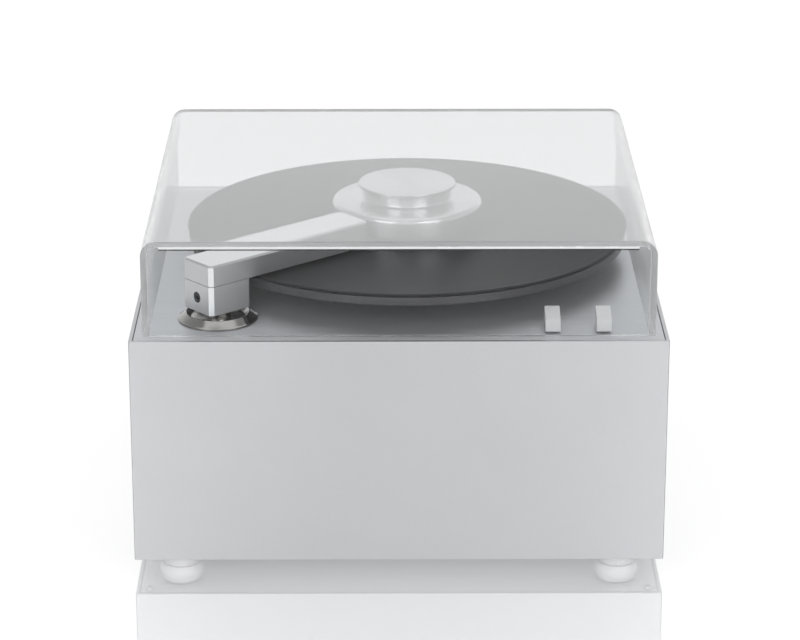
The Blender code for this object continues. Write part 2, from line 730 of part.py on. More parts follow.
def rear_panel():
    width = 2 * (INNER_HALF_X - SEAT_GAP)
    height = CASE_HEIGHT - TOP_THICKNESS - SEAT_GAP
    middle = (0, REAR_Y - REAR_THICKNESS / 2, CASE_BOTTOM + height / 2)
    part = box("rear_panel", (width, REAR_THICKNESS, height), middle, SATIN_ALUMINIUM)
    deep = REAR_THICKNESS + 2 * CUT_OVERRUN
    y = REAR_Y - REAR_THICKNESS / 2
    inlet = (INLET_WIDTH + 2 * SEAT_GAP, deep, INLET_HEIGHT + 2 * SEAT_GAP)
    boolean(part, cutter_box("cut_inlet", inlet, (INLET_X, y, FLOOR_Z + INLET_Z)))
    mains = (MAINS_WIDTH + 2 * MAINS_WALL + 2 * SEAT_GAP, deep, MAINS_HEIGHT + 2 * MAINS_WALL + 2 * SEAT_GAP)
    boolean(part, cutter_box("cut_mains", mains, (MAINS_X, y, FLOOR_Z + INLET_Z)))
    tap = cutter_round("cut_tap", TAP_RADIUS + SEAT_GAP, deep, (TAP_X, y, TAP_Z), SMALL_STEPS, "Y")
    boolean(part, tap)
    for i in range(LOUVRE_COUNT):
        mesh = slot_mesh("louvre", LOUVRE_WIDTH, LOUVRE_HEIGHT, deep)
        louvre = as_cutter(add_object(f"cut_louvre_{i}", mesh, None, CUTTERS))
        louvre.rotation_euler = (math.pi / 2, 0, 0)
        shift = (i - (LOUVRE_COUNT - 1) / 2) * LOUVRE_PITCH
        louvre.location = (TURBINE_X, y, duct_middle_z() + shift)
        boolean(part, louvre)
    return part


def corner_posts():
    height = UNDERSIDE_Z - SEAT_GAP - FLOOR_Z - SEAT_GAP
    inset = POST_SIDE / 2 + SEAT_GAP
    middle_z = FLOOR_Z + SEAT_GAP + height / 2
    for side, x in (("left", -INNER_HALF_X + inset), ("right", INNER_HALF_X - inset)):
        for end, y in (("front", INNER_FRONT_Y + inset), ("rear", INNER_REAR_Y - inset)):
            rounded_box(f"post_{end}_{side}", (POST_SIDE, POST_SIDE, height), (x, y, middle_z),
                        POST_CHAMFER, 1, SATIN_ALUMINIUM, only=(0, 0, 1))


def feet():
    """Soft round feet with a rolled lower edge and a recess for their screw."""
    profile = [(0, FOOT_HEIGHT), (FOOT_TOP_RADIUS, FOOT_HEIGHT), (FOOT_RADIUS, FOOT_HEIGHT / 2)]
    profile += arc(FOOT_RADIUS - FOOT_EDGE, FOOT_EDGE, FOOT_EDGE, 0, -90, 4)
    profile += [(FOOT_RECESS_RADIUS, 0), (FOOT_RECESS_RADIUS, FOOT_RECESS_DEPTH), (0, FOOT_RECESS_DEPTH)]
    x = CASE_WIDTH / 2 - FOOT_INSET_X
    for side, sign in (("left", -1), ("right", 1)):
        for end, y in (("front", FRONT_Y + FOOT_INSET_Y), ("rear", REAR_Y - FOOT_INSET_Y)):
            turned(f"foot_{end}_{side}", profile, (sign * x, y, 0), FOOT_SILICONE, SMALL_STEPS)


# Dust cover

def dust_cover():
    """A clear cover of one sheet bent over at the left and right, with glued end panels."""
    bottom = TOP_Z + SEAT_GAP
    height = COVER_HEIGHT - SEAT_GAP
    size = (CASE_WIDTH - 2 * COVER_INSET, CASE_DEPTH - 2 * COVER_INSET, height)
    bm = bmesh.new()
    bmesh.ops.create_cube(bm, size=1)
    bmesh.ops.scale(bm, verts=bm.verts, vec=Vector(size))
    floor = [f for f in bm.faces if f.normal.z < -0.5]
    bmesh.ops.delete(bm, geom=floor, context="FACES_ONLY")
    bends = [e for e in bm.edges if runs_along(e, (0, 1, 0)) and len(e.link_faces) == 2]
    bmesh.ops.bevel(bm, geom=bends, offset=COVER_BEND_RADIUS, segments=COVER_BEND_SEGMENTS, profile=0.5,
                    affect="EDGES")
    mesh = bpy.data.meshes.new("dust_cover")
    bm.to_mesh(mesh)
    bm.free()
    part = add_object("dust_cover", mesh, CLEAR_ACRYLIC)
    part.location = (0, CASE_Y, bottom + height / 2)
    shell = part.modifiers.new("Sheet", "SOLIDIFY")
    shell.thickness = COVER_SHEET
    shell.offset = -1
    shell.use_even_offset = True
    shell.use_quality_normals = True
    smooth(part)
    return part


# Platter group

def platter():
    """A flat turned disc with a recess for the mat and a hub underneath."""
    top = PLATTER_HEIGHT
    floor = PLATTER_HEIGHT - MAT_RECESS
    recess = PLATTER_RADIUS - PLATTER_RIM_WIDTH
    bore = SPINDLE_SHAFT_RADIUS + SEAT_GAP
    seat = SPINDLE_FLANGE_RADIUS + SEAT_GAP
    seat_z = -HUB_HEIGHT + SPINDLE_FLANGE_HEIGHT + SEAT_GAP
    profile = [
        (bore, floor), (recess, floor), (recess, top), (PLATTER_RADIUS - PLATTER_EDGE, top),
        (PLATTER_RADIUS, top - PLATTER_EDGE), (PLATTER_RADIUS, PLATTER_EDGE),
        (PLATTER_RADIUS - PLATTER_EDGE, 0), (PLATTER_UNDERCUT_RADIUS, 0),
        (PLATTER_UNDERCUT_RADIUS, PLATTER_UNDERCUT), (HUB_RADIUS, PLATTER_UNDERCUT),
        (HUB_RADIUS, -HUB_HEIGHT), (seat, -HUB_HEIGHT), (seat, seat_z), (bore, seat_z)]
    return turned("platter", profile, (PLATTER_X, PLATTER_Y, PLATTER_BOTTOM_Z), PLATTER_BLACK,
                  FINE_STEPS, closed=True)


def platter_mat():
    bottom = PLATTER_HEIGHT - MAT_RECESS + SEAT_GAP
    top = PLATTER_HEIGHT
    radius = PLATTER_RADIUS - PLATTER_RIM_WIDTH - SEAT_GAP
    bore = SPINDLE_SHAFT_RADIUS + SEAT_GAP
    profile = [(bore, top), (radius, top), (radius, bottom), (bore, bottom)]
    return turned("platter_mat", profile, (PLATTER_X, PLATTER_Y, PLATTER_BOTTOM_Z), MAT_RUBBER,
                  FINE_STEPS, closed=True)


def record_disc():
    """A twelve inch record: thick at the rim bead and at the label, thinner where the grooves run."""
    top = RECORD_THICKNESS
    half = RECORD_THICKNESS / 2
    groove_end = LABEL_RADIUS + RECORD_BEAD
    profile = [
        (RECORD_HOLE_RADIUS, top), (LABEL_RADIUS, top), (groove_end, top - RECORD_DIP),
        (RECORD_RADIUS - RECORD_BEAD, top - RECORD_DIP), (RECORD_RADIUS - RECORD_BEAD / 2, top),
        (RECORD_RADIUS - half / 2, top - half / 4), (RECORD_RADIUS, half),
        (RECORD_RADIUS - half / 2, half / 4), (RECORD_RADIUS - RECORD_BEAD / 2, 0),
        (RECORD_RADIUS - RECORD_BEAD, RECORD_DIP), (groove_end, RECORD_DIP),
        (LABEL_RADIUS, 0), (RECORD_HOLE_RADIUS, 0)]
    return turned("record", profile, (PLATTER_X, PLATTER_Y, RECORD_Z - RECORD_THICKNESS), RECORD_VINYL,
                  FINE_STEPS, closed=True)


def spindle():
    """One turned shaft: clamp thread above the record, flange under the hub, journal down to the pulley."""
    shoulder = PLATTER_TOP_Z
    tip = RECORD_Z + SPINDLE_TIP_RISE
    flange_top = HUB_BOTTOM_Z + SPINDLE_FLANGE_HEIGHT
    bottom = PULLEY_BOTTOM_Z - SPINDLE_TAIL
    profile = [
        (0, tip), (SPINDLE_TIP_RADIUS - SPINDLE_TIP_CHAMFER, tip),
        (SPINDLE_TIP_RADIUS, tip - SPINDLE_TIP_CHAMFER), (SPINDLE_TIP_RADIUS, shoulder),
        (SPINDLE_SHAFT_RADIUS, shoulder), (SPINDLE_SHAFT_RADIUS, flange_top),
        (SPINDLE_FLANGE_RADIUS, flange_top), (SPINDLE_FLANGE_RADIUS, HUB_BOTTOM_Z),
        (SPINDLE_SHAFT_RADIUS, HUB_BOTTOM_Z), (SPINDLE_SHAFT_RADIUS, bottom), (0, bottom)]
    return turned("spindle", profile, (PLATTER_X, PLATTER_Y, 0), BARE_STEEL, SMALL_STEPS)


def clamp_body():
    """A turned screw clamp: broad shoulder, coved neck and a flat grip disc with a centre dimple."""
    shoulder = CLAMP_SHOULDER
    neck_foot = shoulder + CLAMP_SLOPE_RISE
    grip = CLAMP_HEIGHT - CLAMP_TOP_EDGE
    socket = SPINDLE_TIP_RADIUS + RUNNING_GAP
    socket_top = max(CLAMP_HEIGHT - CLAMP_SOCKET_SKIN, SPINDLE_TIP_RISE + RUNNING_GAP)
    profile = [(0, CLAMP_HEIGHT - CLAMP_DIMPLE_DEPTH)]
    profile += [(CLAMP_DIMPLE_RADIUS * math.sin(a), CLAMP_HEIGHT - CLAMP_DIMPLE_DEPTH * math.cos(a))
                for a in (math.pi / 6, math.pi / 3, math.pi / 2)]
    profile += [(CLAMP_TOP_RADIUS - CLAMP_TOP_CHAMFER, CLAMP_HEIGHT),
                (CLAMP_TOP_RADIUS, CLAMP_HEIGHT - CLAMP_TOP_CHAMFER), (CLAMP_TOP_RADIUS, grip),
                (CLAMP_NECK_RADIUS, grip - CLAMP_TOP_CHAMFER)]
    profile += arc(CLAMP_NECK_RADIUS + CLAMP_COVE_RADIUS, neck_foot + CLAMP_COVE_RADIUS,
                   CLAMP_COVE_RADIUS, 180, 270, 6)
    profile += arc(CLAMP_RADIUS - CLAMP_SHOULDER_RADIUS, shoulder - CLAMP_SHOULDER_RADIUS,
                   CLAMP_SHOULDER_RADIUS, 90, 0, 5)
    step = CLAMP_SEAL_HEIGHT + SEAT_GAP
    profile += [(CLAMP_RADIUS, step), (CLAMP_SEAL_RADIUS - CLAMP_SEAL_WIDTH - SEAT_GAP, step),
                (CLAMP_SEAL_RADIUS - CLAMP_SEAL_WIDTH - SEAT_GAP, 0), (CLAMP_RELIEF_RADIUS, 0),
                (CLAMP_RELIEF_RADIUS, CLAMP_RELIEF_DEPTH), (socket, CLAMP_RELIEF_DEPTH),
                (socket, socket_top), (0, socket_top)]
    return turned("clamp_body", profile, (PLATTER_X, PLATTER_Y, CLAMP_BOTTOM_Z), POLISHED_ALUMINIUM,
                  FINE_STEPS)


def clamp_seal():
    outer = CLAMP_SEAL_RADIUS
    inner = CLAMP_SEAL_RADIUS - CLAMP_SEAL_WIDTH
    profile = [(inner, CLAMP_SEAL_HEIGHT), (CLAMP_RADIUS, CLAMP_SEAL_HEIGHT),
               (outer, CLAMP_SEAL_HEIGHT / 3), (outer, 0), (inner, 0)]
    return turned("clamp_seal", profile, (PLATTER_X, PLATTER_Y, CLAMP_BOTTOM_Z), MAT_RUBBER,
                  FINE_STEPS, closed=True)


# Suction arm

def on_pivot(part):
    part.location = (PIVOT_X, PIVOT_Y, 0)
    part.rotation_euler = (0, 0, ARM_ANGLE)
    return part


def arm_cutter(cutter):
    """Moves a cutter that was made about the pivot to where the arm stands."""
    turn = Matrix.Translation((PIVOT_X, PIVOT_Y, 0)) @ Matrix.Rotation(ARM_ANGLE, 4, "Z")
    cutter.matrix_world = turn @ Matrix.LocRotScale(cutter.location, cutter.rotation_euler, cutter.scale)
    return cutter


def chamfered_bar(name, start, stop, width, bottom, top, top_chamfer):
    """A square bar along X with chamfered upright corners and a smaller chamfer round its top."""
    bm = bmesh.new()
    bmesh.ops.create_cube(bm, size=1)
    bmesh.ops.scale(bm, verts=bm.verts, vec=(stop - start, width, top - bottom))
    bmesh.ops.translate(bm, verts=bm.verts, vec=((start + stop) / 2, 0, (bottom + top) / 2))
    upright = [e for e in bm.edges if runs_along(e, (0, 0, 1))]
    bmesh.ops.bevel(bm, geom=upright, offset=ARM_CORNER_CHAMFER, segments=1, affect="EDGES")
    if top_chamfer:
        rim = [e for e in bm.edges if all(v.co.z > (top + bottom) / 2 for v in e.verts)]
        bmesh.ops.bevel(bm, geom=rim, offset=top_chamfer, segments=1, affect="EDGES")
    return mesh_from(bm, name)


def arm_bar():
    """The hollow suction bar: a duct from the pivot feeds a long slot between the lips."""
    bottom, top = ARM_BOTTOM_Z, TOP_Z + ARM_TOP
    mesh = chamfered_bar("arm_bar", -ARM_TAIL, ARM_REACH, ARM_WIDTH, bottom, top, ARM_TOP_CHAMFER)
    part = on_pivot(add_object("arm_bar", mesh, SATIN_ALUMINIUM))
    duct_z = (bottom + top) / 2
    well = TUBE_RADIUS - TUBE_WALL
    well_height = duct_z - bottom + CUT_OVERRUN
    boolean(part, arm_cutter(cutter_round(
        "cut_arm_well", well, well_height, (0, 0, duct_z - well_height / 2), SMALL_STEPS)))
    duct_length = ARM_REACH - DUCT_WALL
    boolean(part, arm_cutter(cutter_round(
        "cut_arm_duct", DUCT_RADIUS, duct_length, (duct_length / 2, 0, duct_z), DUCT_STEPS, "X")))
    slot_length = ARM_REACH - SLOT_END_WALL - SLOT_START
    slot = (slot_length, SUCTION_SLOT_WIDTH, well_height)
    boolean(part, arm_cutter(cutter_box(
        "cut_arm_slot", slot, (SLOT_START + slot_length / 2, 0, duct_z - well_height / 2))))
    return part


def arm_block():
    mesh = chamfered_bar("arm_block", -ARM_TAIL, BLOCK_NOSE, ARM_WIDTH, BLOCK_BOTTOM_Z, BLOCK_TOP_Z, 0)
    part = on_pivot(add_object("arm_block", mesh, SATIN_ALUMINIUM))
    middle = (BLOCK_BOTTOM_Z + BLOCK_TOP_Z) / 2
    through = BLOCK_TOP_Z - BLOCK_BOTTOM_Z + 2 * CUT_OVERRUN
    boolean(part, arm_cutter(cutter_round(
        "cut_block_bore", TUBE_RADIUS + SEAT_GAP, through, (0, 0, middle), SMALL_STEPS)))
    screw_run = ARM_TAIL + CUT_OVERRUN
    boolean(part, arm_cutter(cutter_round(
        "cut_screw_hole", SCREW_RADIUS + SEAT_GAP, screw_run, (-screw_run / 2, 0, middle), SMALL_STEPS, "X")))
    return part


def arm_tube():
    """The hollow pivot tube: it carries the block, slides in its sleeve and hands the suction down."""
    outer, inner = TUBE_RADIUS, TUBE_RADIUS - TUBE_WALL
    top, bottom = BLOCK_TOP_Z, TOP_Z - TUBE_DROP
    profile = [(inner, top), (outer, top), (outer, bottom), (inner, bottom)]
    part = turned("arm_tube", profile, (0, 0, 0), POLISHED_STEEL, SMALL_STEPS, closed=True)
    return on_pivot(part)


def arm_set_screw():
    """A socket set screw that holds the block on its tube, seen in the block's outer end."""
    length = min(SCREW_LENGTH, ARM_TAIL - TUBE_RADIUS - 2 * SEAT_GAP - SCREW_SINK)
    profile = [(0, 0), (SCREW_RADIUS, 0), (SCREW_RADIUS, -length), (0, -length)]
    part = turned("arm_set_screw", profile, (0, 0, 0), BLACK_PLASTIC, SMALL_STEPS)
    middle = (BLOCK_BOTTOM_Z + BLOCK_TOP_Z) / 2
    head = Matrix.Translation((-ARM_TAIL + SCREW_SINK, 0, middle)) @ Matrix.Rotation(-math.pi / 2, 4, "Y")
    stand = Matrix.Translation((PIVOT_X, PIVOT_Y, 0)) @ Matrix.Rotation(ARM_ANGLE, 4, "Z")
    part.matrix_world = stand @ head
    socket = cutter_round("cut_screw_socket", SCREW_SOCKET_RADIUS, SCREW_SOCKET_DEPTH + CUT_OVERRUN,
                          (0, 0, (CUT_OVERRUN - SCREW_SOCKET_DEPTH) / 2), HEX_STEPS)
    socket.matrix_world = stand @ head @ Matrix.Translation(socket.location)
    boolean(part, socket)
    return part


def arm_lips():
    """Two velvet strips beside the slot, which seal on the record."""
    length = ARM_REACH - SLOT_END_WALL - SLOT_START
    middle = (SLOT_START + length / 2, RECORD_Z + SEAT_GAP + LIP_HEIGHT / 2)
    for name, side in (("near", -1), ("far", 1)):
        size = (length, LIP_WIDTH, LIP_HEIGHT)
        centre = (middle[0], side * LIP_OFFSET, middle[1])
        mesh = rounded_box_mesh("arm_lip_" + name, size, LIP_EDGE, 2, centre, only=(1, 0, 0))
        on_pivot(add_object("arm_lip_" + name, mesh, LIP_VELVET))


def swivel_sleeve():
    """The sleeve that turns in the bearing and lets the tube rise."""
    top = BLOCK_BOTTOM_Z - SEAT_GAP
    bottom = TOP_Z - SLEEVE_DROP
    profile = [(SLEEVE_INNER, top), (SLEEVE_OUTER, top), (SLEEVE_OUTER, bottom), (SLEEVE_INNER, bottom)]
    part = turned("swivel_sleeve", profile, (0, 0, 0), POLISHED_STEEL, SMALL_STEPS, closed=True)
    return on_pivot(part)


def pivot_collar():
    """A polished conical collar on the plate, dished inside round the sleeve."""
    base = TOP_Z + SEAT_GAP
    ridge_out = COLLAR_RIDGE_RADIUS + COLLAR_RIDGE_WIDTH
    profile = [
        (COLLAR_BORE, COLLAR_FLOOR), (COLLAR_FLOOR_RADIUS, COLLAR_FLOOR),
        (COLLAR_RIDGE_RADIUS, COLLAR_HEIGHT), (ridge_out, COLLAR_HEIGHT),
        (COLLAR_RADIUS - COLLAR_LIP_ROUND, COLLAR_LIP + COLLAR_LIP_ROUND), (COLLAR_RADIUS, COLLAR_LIP),
        (COLLAR_RADIUS, 0), (COLLAR_BORE, 0)]
    return turned("pivot_collar", profile, (PIVOT_X, PIVOT_Y, base), POLISHED_STEEL, ROUND_STEPS,
                  closed=True)


def pivot_bearing():
    """The flanged bearing under the plate, with its barrel rising through the plate to the collar."""
    outer = COLLAR_BORE + BEARING_WALL - RUNNING_GAP
    flange_top = UNDERSIDE_Z - SEAT_GAP
    profile = [
        (COLLAR_BORE, TOP_Z), (outer, TOP_Z), (outer, flange_top), (BEARING_FLANGE_RADIUS, flange_top),
        (BEARING_FLANGE_RADIUS, flange_top - BEARING_FLANGE), (outer, flange_top - BEARING_FLANGE),
        (outer, flange_top - BEARING_DEPTH), (COLLAR_BORE, flange_top - BEARING_DEPTH)]
    return turned("pivot_bearing", profile, (PIVOT_X, PIVOT_Y, 0), BRASS, SMALL_STEPS, closed=True)


def suction_elbow():
    """A cup round the tube's lower end with a spout for the hose; the tube slides in it."""
    bore = TUBE_RADIUS + RUNNING_GAP
    outer = bore + ELBOW_WALL
    bottom = ELBOW_TOP_Z - ELBOW_HEIGHT
    profile = [
        (bore, ELBOW_TOP_Z), (outer, ELBOW_TOP_Z), (outer, bottom), (0, bottom),
        (0, bottom + ELBOW_FLOOR), (bore, bottom + ELBOW_FLOOR)]
    part = turned("suction_elbow", profile, (PIVOT_X, PIVOT_Y, 0), BLACK_PLASTIC, SMALL_STEPS, closed=True)
    spout_z = elbow_spout_z()
    reach = outer + ELBOW_SPOUT_LENGTH
    y = PIVOT_Y + bore + (reach - bore) / 2
    boolean(part, cutter_round("join_elbow_spout", ELBOW_SPOUT_RADIUS, reach - bore - SEAT_GAP,
                               (PIVOT_X, y, spout_z), SMALL_STEPS, "Y"), "UNION")
    spout_bore = ELBOW_SPOUT_RADIUS - HOSE_WALL
    boolean(part, cutter_round("cut_elbow_spout", spout_bore, reach + CUT_OVERRUN,
                               (PIVOT_X, PIVOT_Y + (reach + CUT_OVERRUN) / 2, spout_z), SMALL_STEPS, "Y"))
    return part


def elbow_spout_z():
    return ELBOW_TOP_Z - ELBOW_HEIGHT + ELBOW_FLOOR + ELBOW_SPOUT_RADIUS - HOSE_WALL


def elbow_spout_end():
    return PIVOT_Y + TUBE_RADIUS + RUNNING_GAP + ELBOW_WALL + ELBOW_SPOUT_LENGTH


# Paddles and switches

def paddle_y():
    return FRONT_Y + PADDLE_FROM_FRONT + PADDLE_LENGTH / 2


def paddle_pivot_z():
    return UNDERSIDE_Z - PADDLE_PIVOT_DROP + TOP_THICKNESS


def paddle_window_width():
    return PADDLE_STEM_WIDTH + 2 * RUNNING_GAP


def paddle_window_depth():
    swing = PADDLE_PIVOT_DROP * math.tan(PADDLE_TRAVEL)
    return PADDLE_STEM_DEPTH + 2 * swing + 2 * RUNNING_GAP


def paddle(name, x):
    """A wedge-shaped paddle: a profile extruded across its width, with a stem down to its pivot."""
    pivot = Vector((x, paddle_y(), paddle_pivot_z()))
    front = -PADDLE_LENGTH / 2
    low = TOP_Z + PADDLE_CLEARANCE - pivot.z
    high = low + PADDLE_FRONT_HEIGHT
    stem = PADDLE_STEM_DEPTH / 2
    under = low + PADDLE_REAR_LIFT / 2
    outline = [
        (front, low), (front + PADDLE_FRONT_LEAN, high), (-front, high + PADDLE_REAR_LIFT),
        (-front, low + PADDLE_REAR_LIFT), (stem, under), (stem, -PADDLE_STEM_END + PADDLE_PIVOT_DROP),
        (-stem, -PADDLE_STEM_END + PADDLE_PIVOT_DROP), (-stem, under)]
    bm = bmesh.new()
    cap_half, stem_half = PADDLE_WIDTH / 2, PADDLE_STEM_WIDTH / 2
    cap = [(y, z) for y, z in outline[:4]]
    extrude_profile(bm, cap, cap_half)
    mesh = mesh_from(bm, "paddle_" + name)
    part = add_object("paddle_" + name, mesh, SATIN_ALUMINIUM)
    part.location = pivot
    bevel_edges(part, PADDLE_EDGE, 2)
    stem_top = under + PADDLE_FRONT_HEIGHT / 2
    stem_bottom = -PADDLE_STEM_END + PADDLE_PIVOT_DROP
    stem_size = (2 * stem_half, PADDLE_STEM_DEPTH, stem_top - stem_bottom)
    centre = pivot + Vector((0, 0, (stem_top + stem_bottom) / 2))
    join_box(part, "join_stem_" + name, stem_size, centre)
    return part


def extrude_profile(bm, outline, half_width):
    """A flat outline of (y, z) points swept across X from one side to the other."""
    verts = [bm.verts.new((-half_width, y, z)) for y, z in outline]
    face = bm.faces.new(verts)
    risen = bmesh.ops.extrude_face_region(bm, geom=[face])["geom"]
    moved = [v for v in risen if isinstance(v, bmesh.types.BMVert)]
    bmesh.ops.translate(bm, verts=moved, vec=(2 * half_width, 0, 0))


def paddle_switch(name, x):
    """The switch under the plate: a body with a pocket for the stem and blade terminals below."""
    top = UNDERSIDE_Z - SEAT_GAP
    centre = (x, paddle_y(), top - SWITCH_HEIGHT / 2)
    part = box("switch_" + name, (SWITCH_WIDTH, SWITCH_DEPTH, SWITCH_HEIGHT), centre, BLACK_PLASTIC)
    pocket = (paddle_window_width(), paddle_window_depth(), SWITCH_POCKET_DEPTH + CUT_OVERRUN)
    pocket_z = top - (SWITCH_POCKET_DEPTH - CUT_OVERRUN) / 2
    boolean(part, cutter_box("cut_switch_" + name, pocket, (x, paddle_y(), pocket_z)))
    for i in range(TERMINAL_COUNT):
        y = paddle_y() + (i - (TERMINAL_COUNT - 1) / 2) * TERMINAL_PITCH
        size = (TERMINAL_WIDTH, TERMINAL_THICKNESS, TERMINAL_LENGTH + TERMINAL_ROOT)
        z = top - SWITCH_HEIGHT - (TERMINAL_LENGTH - TERMINAL_ROOT) / 2
        join_box(part, f"join_terminal_{name}_{i}", size, (x, y, z))
    return part


# Belt drive

def spindle_housing():
    """The flanged bearing that carries the spindle, with its boss rising through the plate."""
    bore = SPINDLE_SHAFT_RADIUS + RUNNING_GAP
    flange_top = UNDERSIDE_Z - SEAT_GAP
    boss_top = min(TOP_Z + HOUSING_BOSS_RISE, HUB_BOTTOM_Z - PULLEY_GAP)
    profile = [
        (bore, boss_top), (HOUSING_RADIUS, boss_top), (HOUSING_RADIUS, flange_top),
        (HOUSING_FLANGE_RADIUS, flange_top), (HOUSING_FLANGE_RADIUS, flange_top - HOUSING_FLANGE),
        (HOUSING_RADIUS, flange_top - HOUSING_FLANGE), (HOUSING_RADIUS, HOUSING_BOTTOM_Z),
        (bore, HOUSING_BOTTOM_Z)]
    return turned("spindle_housing", profile, (PLATTER_X, PLATTER_Y, 0), BRASS, ROUND_STEPS, closed=True)


def pulley(name, radius, bore, place, material):
    """A flanged flat-belt pulley, bored for its shaft."""
    high = PULLEY_WIDTH
    rim = radius + PULLEY_FLANGE_RISE
    profile = [
        (bore, high), (rim, high), (rim, high - PULLEY_FLANGE), (radius, high - PULLEY_FLANGE),
        (radius, PULLEY_FLANGE), (rim, PULLEY_FLANGE), (rim, 0), (bore, 0)]
    return turned(name, profile, place, material, ROUND_STEPS, closed=True)


def drive_belt():
    """A flat belt round both pulleys: two arcs and the two straight runs that touch them."""
    small = MOTOR_PULLEY_RADIUS + SEAT_GAP
    large = SPINDLE_PULLEY_RADIUS + SEAT_GAP
    reach = math.hypot(MOTOR_OFFSET_X, MOTOR_OFFSET_Y)
    lean = math.acos((large - small) / reach)
    heading = math.atan2(MOTOR_OFFSET_Y, MOTOR_OFFSET_X)
    inner, outer = [], []
    for loop, extra in ((inner, 0), (outer, BELT_THICKNESS)):
        for i in range(BELT_ARC_STEPS + 1):
            angle = heading + lean + (2 * math.pi - 2 * lean) * i / BELT_ARC_STEPS
            radius = large + extra
            loop.append((PLATTER_X + radius * math.cos(angle), PLATTER_Y + radius * math.sin(angle)))
        for i in range(BELT_ARC_STEPS + 1):
            angle = heading - lean + 2 * lean * i / BELT_ARC_STEPS
            radius = small + extra
            loop.append((MOTOR_X + radius * math.cos(angle), MOTOR_Y + radius * math.sin(angle)))
    bottom = (PULLEY_TOP_Z + PULLEY_BOTTOM_Z - BELT_WIDTH) / 2
    bm = bmesh.new()
    rings = []
    top = bottom + BELT_WIDTH
    for loop, z in ((inner, bottom), (outer, bottom), (outer, top), (inner, top)):
        rings.append([bm.verts.new((x, y, z)) for x, y in loop])
    count = len(inner)
    for a, b in ((0, 1), (1, 2), (2, 3), (3, 0)):
        for i in range(count):
            j = (i + 1) % count
            bm.faces.new((rings[a][i], rings[a][j], rings[b][j], rings[b][i]))
    part = add_object("drive_belt", mesh_from(bm, "drive_belt"), HOSE_RUBBER)
    smooth(part)
    return part


def gear_motor():
    """The low-speed motor that hangs from its bracket, with its shaft pointing down to the pulley."""
    shaft_bottom = PULLEY_BOTTOM_Z - SPINDLE_TAIL
    profile = [
        (0, MOTOR_TOP_Z), (MOTOR_RADIUS - MOTOR_EDGE, MOTOR_TOP_Z), (MOTOR_RADIUS, MOTOR_TOP_Z - MOTOR_EDGE),
        (MOTOR_RADIUS, MOTOR_BOTTOM_Z + MOTOR_EDGE), (MOTOR_RADIUS - MOTOR_EDGE, MOTOR_BOTTOM_Z),
        (MOTOR_NOSE_RADIUS, MOTOR_BOTTOM_Z), (MOTOR_NOSE_RADIUS, PULLEY_TOP_Z + PULLEY_GAP / 2),
        (0, PULLEY_TOP_Z + PULLEY_GAP / 2)]
    return turned("gear_motor", profile, (MOTOR_X, MOTOR_Y, 0), BARE_STEEL, ROUND_STEPS)


def motor_shaft_pulley():
    """The pulley and the shaft that turns with it, one turned piece."""
    high, low = PULLEY_TOP_Z, PULLEY_BOTTOM_Z
    rim = MOTOR_PULLEY_RADIUS + PULLEY_FLANGE_RISE
    top = PULLEY_TOP_Z + PULLEY_GAP / 2 - SEAT_GAP
    profile = [
        (0, top), (MOTOR_SHAFT_RADIUS, top), (MOTOR_SHAFT_RADIUS, high), (rim, high),
        (rim, high - PULLEY_FLANGE), (MOTOR_PULLEY_RADIUS, high - PULLEY_FLANGE),
        (MOTOR_PULLEY_RADIUS, low + PULLEY_FLANGE), (rim, low + PULLEY_FLANGE), (rim, low), (0, low)]
    return turned("motor_pulley", profile, (MOTOR_X, MOTOR_Y, 0), BARE_STEEL, ROUND_STEPS)


def motor_bracket():
    """The square plate between the motor and the underside of the top plate."""
    side = 2 * (MOTOR_RADIUS + BRACKET_MARGIN)
    z = UNDERSIDE_Z - SEAT_GAP - BRACKET_THICKNESS / 2
    return rounded_box("motor_bracket", (side, side, BRACKET_THICKNESS), (MOTOR_X, MOTOR_Y, z),
                       BRACKET_CORNER, 3, BARE_STEEL, only=(0, 0, 1))


# Vacuum side

def vacuum_turbine():
    """The vacuum motor: a wide fan housing below, the motor body above and an inlet on top."""
    base = TURBINE_BOTTOM_Z
    fan = base + TURBINE_FAN_HEIGHT
    top = base + TURBINE_HEIGHT
    cap = top + TURBINE_CAP_HEIGHT
    mouth = TURBINE_MOUTH_Z
    bore = TURBINE_INLET_RADIUS - HOSE_WALL
    profile = [
        (0, cap - TURBINE_CAP_HEIGHT), (bore, cap - TURBINE_CAP_HEIGHT), (bore, mouth),
        (TURBINE_INLET_RADIUS, mouth), (TURBINE_INLET_RADIUS, cap), (TURBINE_CAP_RADIUS, cap),
        (TURBINE_CAP_RADIUS, top), (TURBINE_MOTOR_RADIUS - TURBINE_EDGE, top),
        (TURBINE_MOTOR_RADIUS, top - TURBINE_EDGE), (TURBINE_MOTOR_RADIUS, fan),
        (TURBINE_RADIUS - TURBINE_EDGE, fan), (TURBINE_RADIUS, fan - TURBINE_EDGE),
        (TURBINE_RADIUS, base + TURBINE_EDGE), (TURBINE_RADIUS - TURBINE_EDGE, base), (0, base)]
    return turned("vacuum_turbine", profile, (TURBINE_X, TURBINE_Y, 0), GREY_PLASTIC, ROUND_STEPS)


def turbine_mount():
    """A rubber ring that keeps the turbine's hum off the base plate."""
    outer = TURBINE_RADIUS - MOUNT_RING_INSET
    inner = outer - MOUNT_RING_WIDTH
    profile = [(inner, MOUNT_HEIGHT), (outer, MOUNT_HEIGHT), (outer, 0), (inner, 0)]
    return turned("turbine_mount", profile, (TURBINE_X, TURBINE_Y, FLOOR_Z + SEAT_GAP), MAT_RUBBER,
                  ROUND_STEPS, closed=True)


def duct_middle_z():
    return TURBINE_BOTTOM_Z + DUCT_BOX_RISE + DUCT_BOX_HEIGHT / 2


